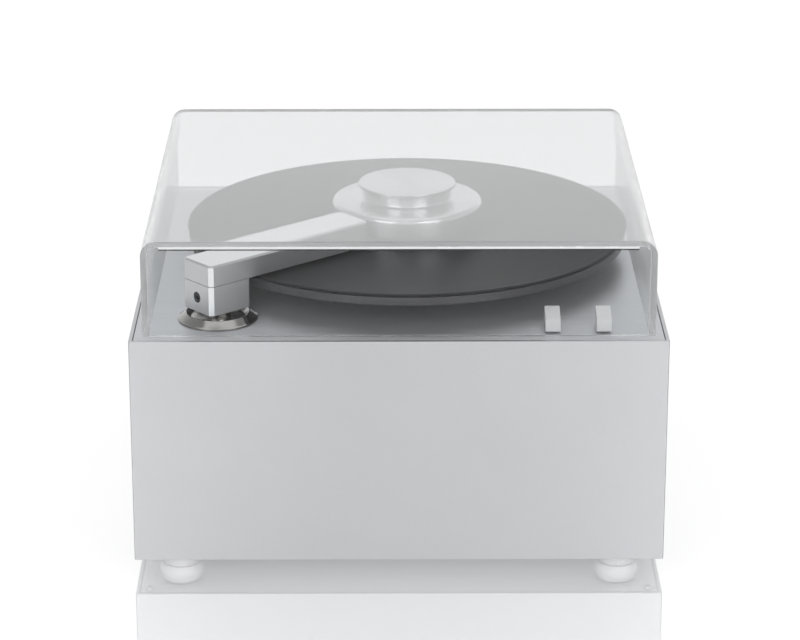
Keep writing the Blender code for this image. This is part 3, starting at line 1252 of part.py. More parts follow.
def exhaust_duct():
    """A short box duct from the fan housing to the louvres, open at both ends."""
    rear = INNER_REAR_Y - SEAT_GAP
    front = TURBINE_Y
    z = duct_middle_z()
    part = box("exhaust_duct", (DUCT_BOX_WIDTH, rear - front, DUCT_BOX_HEIGHT),
               (TURBINE_X, (rear + front) / 2, z), GREY_PLASTIC)
    inside = (DUCT_BOX_WIDTH - 2 * DUCT_BOX_WALL, rear - front + 2 * CUT_OVERRUN,
              DUCT_BOX_HEIGHT - 2 * DUCT_BOX_WALL)
    boolean(part, cutter_box("cut_duct_inside", inside, (TURBINE_X, (rear + front) / 2, z)))
    boolean(part, cutter_round("cut_duct_round", TURBINE_RADIUS + SEAT_GAP,
                               DUCT_BOX_HEIGHT + 2 * CUT_OVERRUN, (TURBINE_X, TURBINE_Y, z), FINE_STEPS))
    return part


def fluid_tank():
    """The waste tank: a moulded box, open under its lid, with a drain stub low at the rear."""
    centre = (TANK_X, TANK_Y, TANK_BOTTOM_Z + TANK_HEIGHT / 2)
    part = rounded_box("fluid_tank", (TANK_WIDTH, TANK_LENGTH, TANK_HEIGHT), centre, TANK_CORNER, 4,
                       TANK_PLASTIC, only=(0, 0, 1))
    inner_size = (TANK_WIDTH - 2 * TANK_WALL, TANK_LENGTH - 2 * TANK_WALL, TANK_HEIGHT)
    hollow_mesh = rounded_box_mesh("cut_tank", inner_size, TANK_CORNER - TANK_WALL, 4, only=(0, 0, 1))
    hollow = as_cutter(add_object("cut_tank", hollow_mesh, None, CUTTERS))
    hollow.location = (TANK_X, TANK_Y, centre[2] + TANK_WALL)
    stub_y = TANK_Y + TANK_LENGTH / 2 + (TANK_DRAIN_LENGTH - TANK_WALL) / 2
    stub = cutter_round("join_tank_drain", TANK_DRAIN_RADIUS, TANK_DRAIN_LENGTH + TANK_WALL,
                        (TAP_X, stub_y, TAP_Z), SMALL_STEPS, "Y")
    boolean(part, stub, "UNION")
    boolean(part, hollow)
    bore = TANK_DRAIN_RADIUS - HOSE_WALL
    boolean(part, cutter_round("cut_tank_drain", bore, TANK_DRAIN_LENGTH + TANK_WALL + 2 * CUT_OVERRUN,
                               (TAP_X, stub_y, TAP_Z), SMALL_STEPS, "Y"))
    return part


def tank_lid():
    """The tank's lid with two hose ports."""
    size = (TANK_WIDTH + 2 * TANK_LID_OVERHANG, TANK_LENGTH + 2 * TANK_LID_OVERHANG, TANK_LID_HEIGHT)
    z = TANK_TOP_Z + SEAT_GAP + TANK_LID_HEIGHT / 2
    part = rounded_box("tank_lid", size, (TANK_X, TANK_Y, z), TANK_CORNER, 4, TANK_PLASTIC, only=(0, 0, 1))
    tall = TANK_LID_HEIGHT + TANK_PORT_RISE
    stub = TANK_LID_HEIGHT / 2 + TANK_PORT_RISE
    for name, (x, y) in tank_ports().items():
        port = cutter_round("join_port_" + name, TANK_PORT_RADIUS, stub,
                            (x, y, tank_port_top() - stub / 2), SMALL_STEPS)
        boolean(part, port, "UNION")
    for name, (x, y) in tank_ports().items():
        bore = cutter_round("cut_port_" + name, TANK_PORT_RADIUS - HOSE_WALL, tall + 2 * CUT_OVERRUN,
                            (x, y, TANK_TOP_Z + SEAT_GAP + tall / 2), SMALL_STEPS)
        boolean(part, bore)
    return part


def tank_ports():
    """Where the suction comes in and where the air leaves."""
    front = elbow_spout_end() + SUCTION_RUN
    rear = TANK_Y + TANK_LENGTH / 2 - TANK_PORT_INSET
    side = TANK_X + TANK_WIDTH / 2 - TANK_PORT_INSET
    return {"suction": (TANK_X, front), "vacuum": (side, rear)}


def suction_hose():
    """From the elbow's spout up and over into the tank's front port."""
    x, y = tank_ports()["suction"]
    start = (PIVOT_X, elbow_spout_end() + SEAT_GAP, elbow_spout_z())
    end = (x, y, tank_port_top() + SEAT_GAP)
    nodes = [(start, (0, SUCTION_PULL_OUT, 0)), (end, (0, 0, -SUCTION_PULL_DOWN))]
    hose("suction_hose", nodes, SUCTION_HOSE_RADIUS, HOSE_RUBBER)


def vacuum_hose():
    """From the tank's rear port across the case to the turbine's inlet."""
    x, y = tank_ports()["vacuum"]
    start = (x, y, tank_port_top() + SEAT_GAP)
    crest = ((x + TURBINE_X) / 2, (y + TURBINE_Y) / 2, UNDERSIDE_Z - VACUUM_HOSE_RADIUS - VACUUM_HEADROOM)
    end = (TURBINE_X, TURBINE_Y, TURBINE_MOUTH_Z + SEAT_GAP)
    nodes = [(start, (0, 0, VACUUM_PULL)), (crest, (VACUUM_RUN, 0, 0)), (end, (0, 0, -VACUUM_PULL))]
    hose("vacuum_hose", nodes, VACUUM_HOSE_RADIUS, HOSE_RUBBER)


def drain_hose():
    """A short straight hose between the tank's stub and the tap."""
    start = (TAP_X, TANK_Y + TANK_LENGTH / 2 + TANK_DRAIN_LENGTH + SEAT_GAP, TAP_Z)
    end = (TAP_X, REAR_Y + tap_inner_end(), TAP_Z)
    run = (0, end[1] - start[1], 0)
    hose("drain_hose", [(start, run), (end, run)], DRAIN_HOSE_RADIUS, HOSE_RUBBER)


def tank_port_top():
    return TANK_LID_TOP_Z + TANK_PORT_RISE


def tap_inner_end():
    """How far inside the panel's outer face the tap's threaded shank ends, as a negative length."""
    return -REAR_THICKNESS - 2 * SEAT_GAP - TAP_NUT


def mains_inlet():
    """A three-pin mains inlet: flange outside, moulded body inside and pins in an open socket."""
    z = FLOOR_Z + INLET_Z
    flange_y = REAR_Y + SEAT_GAP + INLET_FLANGE / 2
    flange = (INLET_WIDTH + 2 * INLET_FLANGE_MARGIN, INLET_FLANGE, INLET_HEIGHT + 2 * INLET_FLANGE_MARGIN)
    part = rounded_box("mains_inlet", flange, (INLET_X, flange_y, z), INLET_CORNER, 3, BLACK_PLASTIC,
                       only=(0, 1, 0))
    face_y = REAR_Y + SEAT_GAP + INLET_FLANGE
    body_y = face_y - (INLET_DEPTH + PART_SINK) / 2 - PART_SINK
    join_box(part, "join_inlet_body", (INLET_WIDTH, INLET_DEPTH, INLET_HEIGHT), (INLET_X, body_y, z))
    cavity = (INLET_WIDTH - 2 * INLET_WALL, INLET_CAVITY + CUT_OVERRUN, INLET_HEIGHT - 2 * INLET_WALL)
    cavity_y = face_y - (INLET_CAVITY - CUT_OVERRUN) / 2
    boolean(part, cutter_box("cut_inlet_socket", cavity, (INLET_X, cavity_y, z)))
    pin_y = face_y - INLET_CAVITY + (PIN_LENGTH - PART_SINK) / 2
    for name, dx, dz in (("left", -PIN_PITCH, -PIN_DROP / 2), ("right", PIN_PITCH, -PIN_DROP / 2),
                         ("earth", 0, PIN_DROP / 2)):
        size = (PIN_WIDTH, PIN_LENGTH + PART_SINK, PIN_HEIGHT)
        join_box(part, "join_pin_" + name, size, (INLET_X + dx, pin_y, z + dz))
    return part


def mains_switch():
    """The rear mains switch: a bezel and body with an open pocket for the rocker."""
    z = FLOOR_Z + INLET_Z
    width = MAINS_WIDTH + 2 * MAINS_WALL
    height = MAINS_HEIGHT + 2 * MAINS_WALL
    bezel = (width + 2 * MAINS_BEZEL_MARGIN, MAINS_BEZEL, height + 2 * MAINS_BEZEL_MARGIN)
    bezel_y = REAR_Y + SEAT_GAP + MAINS_BEZEL / 2
    part = rounded_box("mains_switch", bezel, (MAINS_X, bezel_y, z), MAINS_EDGE, 2, BLACK_PLASTIC,
                       only=(0, 1, 0))
    face_y = REAR_Y + SEAT_GAP + MAINS_BEZEL
    body_y = face_y - PART_SINK - MAINS_DEPTH / 2
    join_box(part, "join_mains_body", (width, MAINS_DEPTH, height), (MAINS_X, body_y, z))
    pocket = (MAINS_WIDTH, MAINS_POCKET + CUT_OVERRUN, MAINS_HEIGHT)
    pocket_y = face_y - (MAINS_POCKET - CUT_OVERRUN) / 2
    boolean(part, cutter_box("cut_mains_pocket", pocket, (MAINS_X, pocket_y, z)))
    return part


def mains_rocker():
    """A two-faced rocker on its cross pin, resting with its lower half pressed."""
    pivot_y = REAR_Y + SEAT_GAP + MAINS_BEZEL - MAINS_ROCKER_DEPTH / 2
    half = MAINS_HEIGHT / 2 - RUNNING_GAP - MAINS_ROCKER_DEPTH * math.sin(MAINS_TILT)
    face = MAINS_ROCKER_RISE + MAINS_ROCKER_DEPTH / 2
    dip = half * math.tan(MAINS_TILT)
    back = -MAINS_ROCKER_DEPTH / 2
    outline = [(face, 0), (face + dip, half), (back, half), (back, -half),
               (face + dip, -half)]
    bm = bmesh.new()
    extrude_profile(bm, outline, MAINS_WIDTH / 2 - RUNNING_GAP)
    part = add_object("mains_rocker", mesh_from(bm, "mains_rocker"), BLACK_PLASTIC)
    bevel_edges(part, MAINS_EDGE / 2)
    part.location = (MAINS_X, pivot_y, FLOOR_Z + INLET_Z)
    part.rotation_euler = (MAINS_TILT, 0, 0)
    return part


def drain_tap():
    """The drain tap: a flange on the panel, a barbed spout and the stem that its lever turns on."""
    points = [(TAP_BORE, TAP_LENGTH), (TAP_RADIUS - TAP_BARB_RISE, TAP_LENGTH)]
    barb_top = TAP_LENGTH
    for _ in range(TAP_BARB_COUNT):
        barb_foot = barb_top - TAP_BARB_PITCH / 2
        points += [(TAP_RADIUS, barb_foot), (TAP_RADIUS - TAP_BARB_RISE, barb_foot)]
        barb_top -= TAP_BARB_PITCH
    inside = tap_inner_end()
    points += [(TAP_RADIUS - TAP_BARB_RISE, TAP_BODY_LENGTH), (TAP_RADIUS, TAP_BODY_LENGTH),
               (TAP_RADIUS, TAP_FLANGE), (TAP_FLANGE_RADIUS, TAP_FLANGE), (TAP_FLANGE_RADIUS, 0),
               (TAP_RADIUS, 0), (TAP_RADIUS, inside), (TAP_BORE, inside)]
    part = turned("drain_tap", points, (TAP_X, REAR_Y + SEAT_GAP, TAP_Z), BRASS, SMALL_STEPS, closed=True)
    part.rotation_euler = (-math.pi / 2, 0, 0)
    stem_y = REAR_Y + SEAT_GAP + TAP_STEM_FROM_PANEL
    stem_low = TAP_Z + TAP_BORE + PART_SINK
    stem = cutter_round("join_tap_stem", TAP_STEM_RADIUS, TAP_Z + TAP_STEM_RISE - stem_low,
                        (TAP_X, stem_y, (stem_low + TAP_Z + TAP_STEM_RISE) / 2), SMALL_STEPS)
    boolean(part, stem, "UNION")
    return part


def drain_lever():
    """The tap's lever, turning on the stem: along the spout when open, across it when shut."""
    stem_y = REAR_Y + SEAT_GAP + TAP_STEM_FROM_PANEL
    size = (LEVER_LENGTH, LEVER_WIDTH, LEVER_THICKNESS)
    mesh = rounded_box_mesh("drain_lever", size, LEVER_EDGE, 2, (LEVER_LENGTH / 2 - LEVER_WIDTH / 2, 0, 0))
    part = add_object("drain_lever", mesh, BLACK_PLASTIC)
    z = TAP_Z + TAP_STEM_RISE + SEAT_GAP + LEVER_THICKNESS / 2
    part.location = (TAP_X, stem_y, z)
    return part


def tap_nut():
    bore = (TAP_RADIUS + SEAT_GAP) / math.cos(math.pi / HEX_STEPS)
    profile = [(bore, 0), (TAP_NUT_RADIUS, 0), (TAP_NUT_RADIUS, -TAP_NUT), (bore, -TAP_NUT)]
    part = turned("tap_nut", profile, (TAP_X, INNER_REAR_Y - SEAT_GAP, TAP_Z), BRASS, HEX_STEPS, closed=True)
    part.rotation_euler = (-math.pi / 2, 0, 0)
    return part


# Control board

def control_board():
    """The circuit board on its standoffs, with its relays."""
    bottom = FLOOR_Z + SEAT_GAP
    board_z = bottom + BOARD_STANDOFF + BOARD_THICKNESS / 2
    part = box("control_board", (BOARD_WIDTH, BOARD_DEPTH, BOARD_THICKNESS), (BOARD_X, BOARD_Y, board_z),
               BOARD_GREEN)
    reach_x = BOARD_WIDTH / 2 - STANDOFF_INSET
    reach_y = BOARD_DEPTH / 2 - STANDOFF_INSET
    tall = BOARD_STANDOFF + PART_SINK
    for i, (sx, sy) in enumerate(((-1, -1), (1, -1), (1, 1), (-1, 1))):
        place = (BOARD_X + sx * reach_x, BOARD_Y + sy * reach_y, bottom + tall / 2)
        boolean(part, cutter_round(f"join_standoff_{i}", STANDOFF_RADIUS, tall, place, HEX_STEPS), "UNION")
    top = board_z + BOARD_THICKNESS / 2
    for i in range(RELAY_COUNT):
        size = (RELAY_WIDTH, RELAY_DEPTH, RELAY_HEIGHT + PART_SINK)
        place = (BOARD_X + reach_x / 2 + (i - (RELAY_COUNT - 1) / 2) * RELAY_PITCH,
                 BOARD_Y - reach_y / 3, top + (RELAY_HEIGHT - PART_SINK) / 2)
        join_box(part, f"join_relay_{i}", size, place)
    return part


def transformer():
    """The board's transformer: a winding through a square iron core."""
    x = BOARD_X - BOARD_WIDTH / 4
    bottom = FLOOR_Z + SEAT_GAP + BOARD_STANDOFF + BOARD_THICKNESS + SEAT_GAP
    size = (TRANSFORMER_WIDTH, TRANSFORMER_CORE, TRANSFORMER_HEIGHT)
    part = box("transformer", size, (x, BOARD_Y, bottom + TRANSFORMER_HEIGHT / 2), COPPER_WINDING)
    winding_height = TRANSFORMER_HEIGHT - 2 * TRANSFORMER_EDGE
    winding = (TRANSFORMER_WIDTH - 2 * TRANSFORMER_CORE, TRANSFORMER_DEPTH, winding_height)
    join_box(part, "join_winding", winding, (x, BOARD_Y, bottom + TRANSFORMER_HEIGHT / 2))
    return part


def build():
    case_wrap()
    top_plate()
    base_plate()
    rear_panel()
    corner_posts()
    feet()
    dust_cover()
    platter()
    platter_mat()
    record_disc()
    spindle()
    clamp_body()
    clamp_seal()
    arm_bar()
    arm_block()
    arm_tube()
    arm_set_screw()
    arm_lips()
    swivel_sleeve()
    pivot_collar()
    pivot_bearing()
    suction_elbow()
    for name, x in zip(PADDLE_NAMES, PADDLE_X):
        paddle(name, x)
        paddle_switch(name, x)
    spindle_housing()
    pulley("spindle_pulley", SPINDLE_PULLEY_RADIUS, SPINDLE_SHAFT_RADIUS + SEAT_GAP,
           (PLATTER_X, PLATTER_Y, PULLEY_BOTTOM_Z), BARE_STEEL)
    drive_belt()
    gear_motor()
    motor_shaft_pulley()
    motor_bracket()
    vacuum_turbine()
    turbine_mount()
    exhaust_duct()
    fluid_tank()
    tank_lid()
    suction_hose()
    vacuum_hose()
    drain_hose()
    mains_inlet()
    mains_switch()
    mains_rocker()
    drain_tap()
    drain_lever()
    tap_nut()
    control_board()
    transformer()


build()
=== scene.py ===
import math

import bmesh
import bpy
from mathutils import Matrix, Vector


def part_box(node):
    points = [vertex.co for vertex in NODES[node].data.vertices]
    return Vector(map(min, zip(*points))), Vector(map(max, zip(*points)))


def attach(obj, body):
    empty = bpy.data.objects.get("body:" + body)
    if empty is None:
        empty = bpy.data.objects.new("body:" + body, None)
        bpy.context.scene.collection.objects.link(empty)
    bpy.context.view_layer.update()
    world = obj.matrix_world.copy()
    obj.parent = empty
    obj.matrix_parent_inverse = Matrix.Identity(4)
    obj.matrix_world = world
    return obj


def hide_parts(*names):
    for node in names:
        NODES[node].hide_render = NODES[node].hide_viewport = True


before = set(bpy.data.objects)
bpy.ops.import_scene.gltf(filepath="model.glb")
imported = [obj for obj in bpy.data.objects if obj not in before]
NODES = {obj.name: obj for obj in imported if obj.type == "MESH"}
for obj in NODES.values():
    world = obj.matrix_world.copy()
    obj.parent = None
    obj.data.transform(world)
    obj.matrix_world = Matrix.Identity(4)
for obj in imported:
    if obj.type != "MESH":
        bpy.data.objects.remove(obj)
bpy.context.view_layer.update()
MM = 0.001


# Places, read from the frame

def centre(node):
    low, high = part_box(node)
    return (low + high) / 2


CASE_LOW, CASE_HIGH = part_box("case_wrap")
PLATE_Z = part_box("top_plate")[1].z
FRONT_Y = CASE_LOW.y
REAR_Y = CASE_HIGH.y
COVER_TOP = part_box("dust_cover")[1].z
SPIN = centre("platter")
PIVOT = centre("pivot_collar")
ARM_ANGLE = math.radians(41.0)
ARM_HALF = 15.0 * MM
ARM_TAIL = -17.0 * MM
ARM_REACH = 117.58 * MM
BLOCK_NOSE = 16.8 * MM
SHARP_ANGLE = 35
NEARLY_STRAIGHT = math.radians(179)
SHARE_OF_SIDE = 0.49
ON_AXIS = 1e-7


# Shape helpers

def link(name, mesh):
    piece = bpy.data.objects.new(name, mesh)
    bpy.context.scene.collection.objects.link(piece)
    return piece


def finish_mesh(bm, name, smooth_angle=SHARP_ANGLE):
    bmesh.ops.recalc_face_normals(bm, faces=bm.faces)
    mesh = bpy.data.meshes.new(name)
    bm.to_mesh(mesh)
    bm.free()
    mesh.shade_smooth()
    mesh.set_sharp_from_angle(angle=math.radians(smooth_angle))
    return mesh


def dress(piece, material, body, *nodes, slot=None):
    """Gives a piece its material and body, and hides the CAD nodes it stands for."""
    piece.data.materials.clear()
    piece.data.materials.append(material)
    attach(piece, body)
    if nodes:
        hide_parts(*nodes)
    return piece


def fillet(points, radius, steps=5, closed=True):
    """Rounds the corners of a flat outline; radius is one number or one for each point."""
    count = len(points)
    radii = list(radius) if hasattr(radius, "__len__") else [radius] * count
    if not closed:
        radii[0] = radii[-1] = 0
    out = []
    for i, point in enumerate(points):
        here = Vector(point)
        if radii[i] <= 0:
            out.append(tuple(here))
            continue
        before = Vector(points[i - 1]) - here
        after = Vector(points[(i + 1) % count]) - here
        corner = before.angle(after)
        if corner > NEARLY_STRAIGHT:
            out.append(tuple(here))
            continue
        shorter = min(before.length, after.length)
        reach = min(radii[i] / math.tan(corner / 2), SHARE_OF_SIDE * shorter)
        turn = reach * math.tan(corner / 2)
        inward = (before.normalized() + after.normalized()).normalized()
        middle = here + inward * (turn / math.sin(corner / 2))
        first = here + before.normalized() * reach - middle
        last = here + after.normalized() * reach - middle
        sweep = first.angle(last)
        for step in range(steps + 1):
            share = step / steps
            spoke = first * math.sin((1 - share) * sweep) + last * math.sin(share * sweep)
            out.append(tuple(middle + spoke / math.sin(sweep)))
    return out


def circle(radius, steps, turn=0.0, height=0.0):
    """Points round a circle or, with few steps, the corners of a regular polygon."""
    return [(radius * math.cos(2 * math.pi * i / steps + turn),
             radius * math.sin(2 * math.pi * i / steps + turn) + height) for i in range(steps)]


def turned(name, profile, place, steps=160, closed=True):
    """Turns a profile of (radius, height) points about the vertical at place, smooth and closed."""
    bm = bmesh.new()
    rings = []
    for radius, height in profile:
        if radius < ON_AXIS:
            rings.append([bm.verts.new((0, 0, height))])
        else:
            rings.append([bm.verts.new((x, y, height)) for x, y in circle(radius, steps)])
    pairs = list(zip(rings[:-1], rings[1:]))
    if closed:
        pairs.append((rings[-1], rings[0]))
    for a, b in pairs:
        for i in range(steps):
            j = (i + 1) % steps
            corners = [a[i % len(a)], a[j % len(a)], b[j % len(b)], b[i % len(b)]]
            face = list(dict.fromkeys(corners))
            if len(face) > 2:
                bm.faces.new(face)
    piece = link(name, finish_mesh(bm, name))
    piece.location = place
    return piece


def prism(name, outline, low, high, axis="Z", edge=0.0, edge_steps=3):
    """A flat outline swept from low to high along X or Z, with its sharp edges rounded."""
    bm = bmesh.new()
    lift = {"Z": lambda a, b, c: (a, b, c), "X": lambda a, b, c: (c, a, b)}[axis]
    first = [bm.verts.new(lift(a, b, low)) for a, b in outline]
    last = [bm.verts.new(lift(a, b, high)) for a, b in outline]
    count = len(outline)
    bm.faces.new(first)
    bm.faces.new(last)
    for i in range(count):
        j = (i + 1) % count
        bm.faces.new((first[i], first[j], last[j], last[i]))
    piece = link(name, finish_mesh(bm, name))
    if edge:
        round_edges(piece, edge, edge_steps)
    return piece


def round_edges(piece, width, steps=3, angle=32):
    bevel = piece.modifiers.new("Edge", "BEVEL")
    bevel.width = width
    bevel.segments = steps
    bevel.limit_method = "ANGLE"
    bevel.angle_limit = math.radians(angle)
    bevel.harden_normals = True
    bevel.use_clamp_overlap = True
    return bevel


def cut(piece, tool, operation="DIFFERENCE"):
    """Cuts or joins a tool and keeps the result in the mesh, then removes the tool."""
    step = piece.modifiers.new("Cut", "BOOLEAN")
    step.operation = operation
    step.object = tool
    step.solver = "EXACT"
    bpy.context.view_layer.update()
    graph = bpy.context.evaluated_depsgraph_get()
    mesh = bpy.data.meshes.new_from_object(piece.evaluated_get(graph))
    piece.modifiers.clear()
    piece.data = mesh
    bpy.data.objects.remove(tool, do_unlink=True)
    mesh.shade_smooth()
    mesh.set_sharp_from_angle(angle=math.radians(SHARP_ANGLE))
    return piece


# Material helpers

class Shader:
    """A Principled material with short calls for the nodes that vary it."""

    def __init__(self, name, colour, roughness, metallic=0.0, **sockets):
        self.material = bpy.data.materials.new(name)
        self.material.use_nodes = True
        self.tree = self.material.node_tree
        self.bsdf = self.tree.nodes["Principled BSDF"]
        self.colour = (*colour, 1.0)
        self.set("Base Color", self.colour)
        self.set("Roughness", roughness)
        self.set("Metallic", metallic)
        for socket, value in sockets.items():
            self.set(socket.replace("_", " "), value)

    def set(self, socket, value):
        self.bsdf.inputs[socket].default_value = value

    def node(self, kind, **values):
        node = self.tree.nodes.new("ShaderNode" + kind)
        for key, value in values.items():
            if hasattr(node, key):
                setattr(node, key, value)
            else:
                node.inputs[key.replace("_", " ")].default_value = value
        return node

    def wire(self, source, target):
        self.tree.links.new(source, target)
        return target.node

    def place(self, scale=(1, 1, 1)):
        """Object coordinates, stretched."""
        where = self.node("TexCoord")
        mapping = self.node("Mapping")
        mapping.inputs["Scale"].default_value = scale
        self.wire(where.outputs["Object"], mapping.inputs["Vector"])
        return mapping.outputs["Vector"]

    def radius(self):
        """Distance from the piece's own upright axis."""
        where = self.node("TexCoord")
        flat = self.node("VectorMath", operation="MULTIPLY")
        flat.inputs[1].default_value = (1, 1, 0)
        self.wire(where.outputs["Object"], flat.inputs[0])
        length = self.node("VectorMath", operation="LENGTH")
        self.wire(flat.outputs["Vector"], length.inputs[0])
        return length.outputs["Value"]

    def noise(self, scale, detail=4.0, stretch=(1, 1, 1), rough=0.5):
        noise = self.node("TexNoise", Scale=scale, Detail=detail, Roughness=rough)
        self.wire(self.place(stretch), noise.inputs["Vector"])
        return noise.outputs["Fac"]

    def ramp(self, value, low, high, from_low=0.3, from_high=0.7):
        span = self.node("MapRange")
        span.inputs["From Min"].default_value = from_low
        span.inputs["From Max"].default_value = from_high
        span.inputs["To Min"].default_value = low
        span.inputs["To Max"].default_value = high
        self.wire(value, span.inputs["Value"])
        return span.outputs["Result"]

    def math(self, operation, a, b=None, c=None):
        node = self.node("Math", operation=operation)
        for i, value in enumerate((a, b, c)):
            if value is None:
                continue
            if isinstance(value, (int, float)):
                node.inputs[i].default_value = value
            else:
                self.wire(value, node.inputs[i])
        return node.outputs["Value"]

    def blend_shaders(self, share, first, second):
        mixed = self.node("MixShader")
        for socket, source in zip(mixed.inputs, (share, first, second)):
            self.wire(source, socket)
        return mixed.outputs["Shader"]

    def facing(self, power, most):
        """Rises from nothing face on to its most at a grazing angle."""
        layer = self.node("LayerWeight")
        layer.inputs["Blend"].default_value = 0.5
        return self.math("MULTIPLY", self.math("POWER", layer.outputs["Facing"], power), most)

    def finish(self, shader):
        self.wire(shader, self.tree.nodes["Material Output"].inputs["Surface"])

    def mix(self, share, first, second):
        node = self.node("Mix", data_type="RGBA")
        for socket, value in ((node.inputs[0], share), (node.inputs[6], first), (node.inputs[7], second)):
            if hasattr(value, "links"):
                self.wire(value, socket)
            else:
                socket.default_value = value
        return node.outputs[2]

    def vary_roughness(self, source, low, high):
        self.wire(self.ramp(source, low, high), self.bsdf.inputs["Roughness"])
        return self

    def vary_colour(self, source, amount):
        dark = tuple(c * (1 - amount) for c in self.colour[:3]) + (1.0,)
        light = tuple(min(1.0, c * (1 + amount)) for c in self.colour[:3]) + (1.0,)
        self.wire(self.mix(self.ramp(source, 0, 1), dark, light), self.bsdf.inputs["Base Color"])
        return self

    def bump(self, source, distance, strength=1.0):
        node = self.node("Bump", Strength=strength, Distance=distance)
        self.wire(source, node.inputs["Height"])
        if self.bsdf.inputs["Normal"].is_linked:
            self.wire(self.bsdf.inputs["Normal"].links[0].from_socket, node.inputs["Normal"])
        self.wire(node.outputs["Normal"], self.bsdf.inputs["Normal"])
        return self


def satin(name, colour, roughness, grain=0.04):
    """Fine bead-blasted and anodised metal."""
    s = Shader(name, colour, roughness, 1.0)
    s.vary_roughness(s.noise(900, 3), roughness - grain, roughness + grain)
    s.vary_colour(s.noise(14, 5), 0.012)
    s.bump(s.noise(3200, 2), 0.00002, 0.35)
    return s.material


def brushed(name, colour, roughness, along, grain=0.07, depth=0.00003, spread=0.7):
    """Metal brushed along one axis: long fine lines in roughness, tone and relief, and a stretched gloss."""
    stretch = tuple(0.02 if axis == along else 1.0 for axis in "XYZ")
    s = Shader(name, colour, roughness, 1.0, Anisotropic=spread)
    across = s.node("Tangent", direction_type="RADIAL", axis=along)
    s.wire(across.outputs["Tangent"], s.bsdf.inputs["Tangent"])
    lines = s.noise(1500, 5, stretch, 0.6)
    s.vary_roughness(lines, roughness - grain, roughness + grain)
    s.vary_colour(s.noise(700, 4, stretch, 0.6), 0.035)
    s.bump(lines, depth, 0.5)
    return s.material


def ringed(name, colour, roughness, pitch=0.00035, grain=0.04, depth=0.000012, spread=0.6, **sockets):
    """Metal turned on a lathe: fine rings about its own axis."""
    s = Shader(name, colour, roughness, 1.0, Anisotropic=spread, Anisotropic_Rotation=0.25, **sockets)
    around = s.node("Tangent", direction_type="RADIAL", axis="Z")
    s.wire(around.outputs["Tangent"], s.bsdf.inputs["Tangent"])
    radius = s.radius()
    rings = s.math("SINE", s.math("MULTIPLY", radius, 2 * math.pi / pitch))
    wander = s.noise(260, 3, (1, 1, 3))
    s.vary_roughness(wander, roughness - grain, roughness + grain)
    s.bump(rings, depth, 0.4)
    return s.material


def moulded(name, colour, roughness, scale=1400, depth=0.00004, **sockets):
    """Plastic or rubber with a fine moulded grain."""
    s = Shader(name, colour, roughness, 0.0, **sockets)
    grain = s.noise(scale, 3)
    s.vary_roughness(s.noise(60, 4), roughness - 0.05, roughness + 0.05)
    s.vary_colour(s.noise(30, 4), 0.06)
    s.bump(grain, depth, 0.5)
    return s.material


# Materials

CASE_SATIN = satin("case_satin", (0.55, 0.56, 0.575), 0.42)
REAR_SATIN = satin("rear_satin", (0.62, 0.63, 0.645), 0.44)
PLATE_BRUSHED = brushed("plate_brushed", (0.60, 0.61, 0.63), 0.48, "X", spread=0.85)
ARM_SATIN = satin("arm_satin", (0.82, 0.825, 0.835), 0.36)
PADDLE_SATIN = moulded("paddle_satin", (0.72, 0.725, 0.73), 0.35, 2400, 0.00002)
CLAMP_TURNED = ringed("clamp_turned", (0.62, 0.62, 0.625), 0.22, spread=0.8)
COLLAR_POLISHED = ringed("collar_polished", (0.40, 0.39, 0.375), 0.10, pitch=0.0006)
STEEL_TURNED = ringed("steel_turned", (0.50, 0.50, 0.51), 0.28)
BRASS_TURNED = ringed("brass_turned", (0.72, 0.56, 0.28), 0.28)
NICKEL_TAP = ringed("nickel_tap", (0.66, 0.63, 0.58), 0.22)
PLATTER_BLACK = moulded("platter_black", (0.055, 0.055, 0.058), 0.42, 2600, 0.00002)
MAT_RUBBER = moulded("mat_rubber", (0.03, 0.03, 0.031), 0.8)
SEAL_RUBBER = moulded("seal_rubber", (0.05, 0.05, 0.052), 0.6)
# The faint white emission is a painted glow, standing in for light reaching into the silicone feet.
FOOT_SILICONE_PAINTED_GLOW = moulded("foot_silicone", (0.93, 0.94, 0.95), 0.35, 900, 0.00003,
                        Emission_Color=(1.0, 1.0, 1.0, 1.0), Emission_Strength=0.01)
BLACK_PLASTIC = moulded("black_plastic", (0.028, 0.028, 0.03), 0.42)
GREY_PLASTIC = moulded("grey_plastic", (0.33, 0.34, 0.35), 0.5)
TANK_PLASTIC = moulded("tank_plastic", (0.80, 0.81, 0.78), 0.4, 500, 0.0001)
HOSE_RUBBER = moulded("hose_rubber", (0.05, 0.05, 0.055), 0.55)
LIP_VELVET = moulded("lip_velvet", (0.035, 0.035, 0.04), 0.95, 5200, 0.00025, Sheen_Weight=0.6)
BOARD_GREEN = moulded("board_green", (0.03, 0.17, 0.085), 0.4, 700, 0.00002)
COPPER_WINDING = brushed("copper_winding", (0.62, 0.30, 0.15), 0.35, "X", depth=0.0002)


GROOVE_PITCH = 0.42 * MM
LABEL_RADIUS = 50.0 * MM
VINYL_BLACK = (0.018, 0.018, 0.020)
PAPER = (0.55, 0.54, 0.50, 1.0)


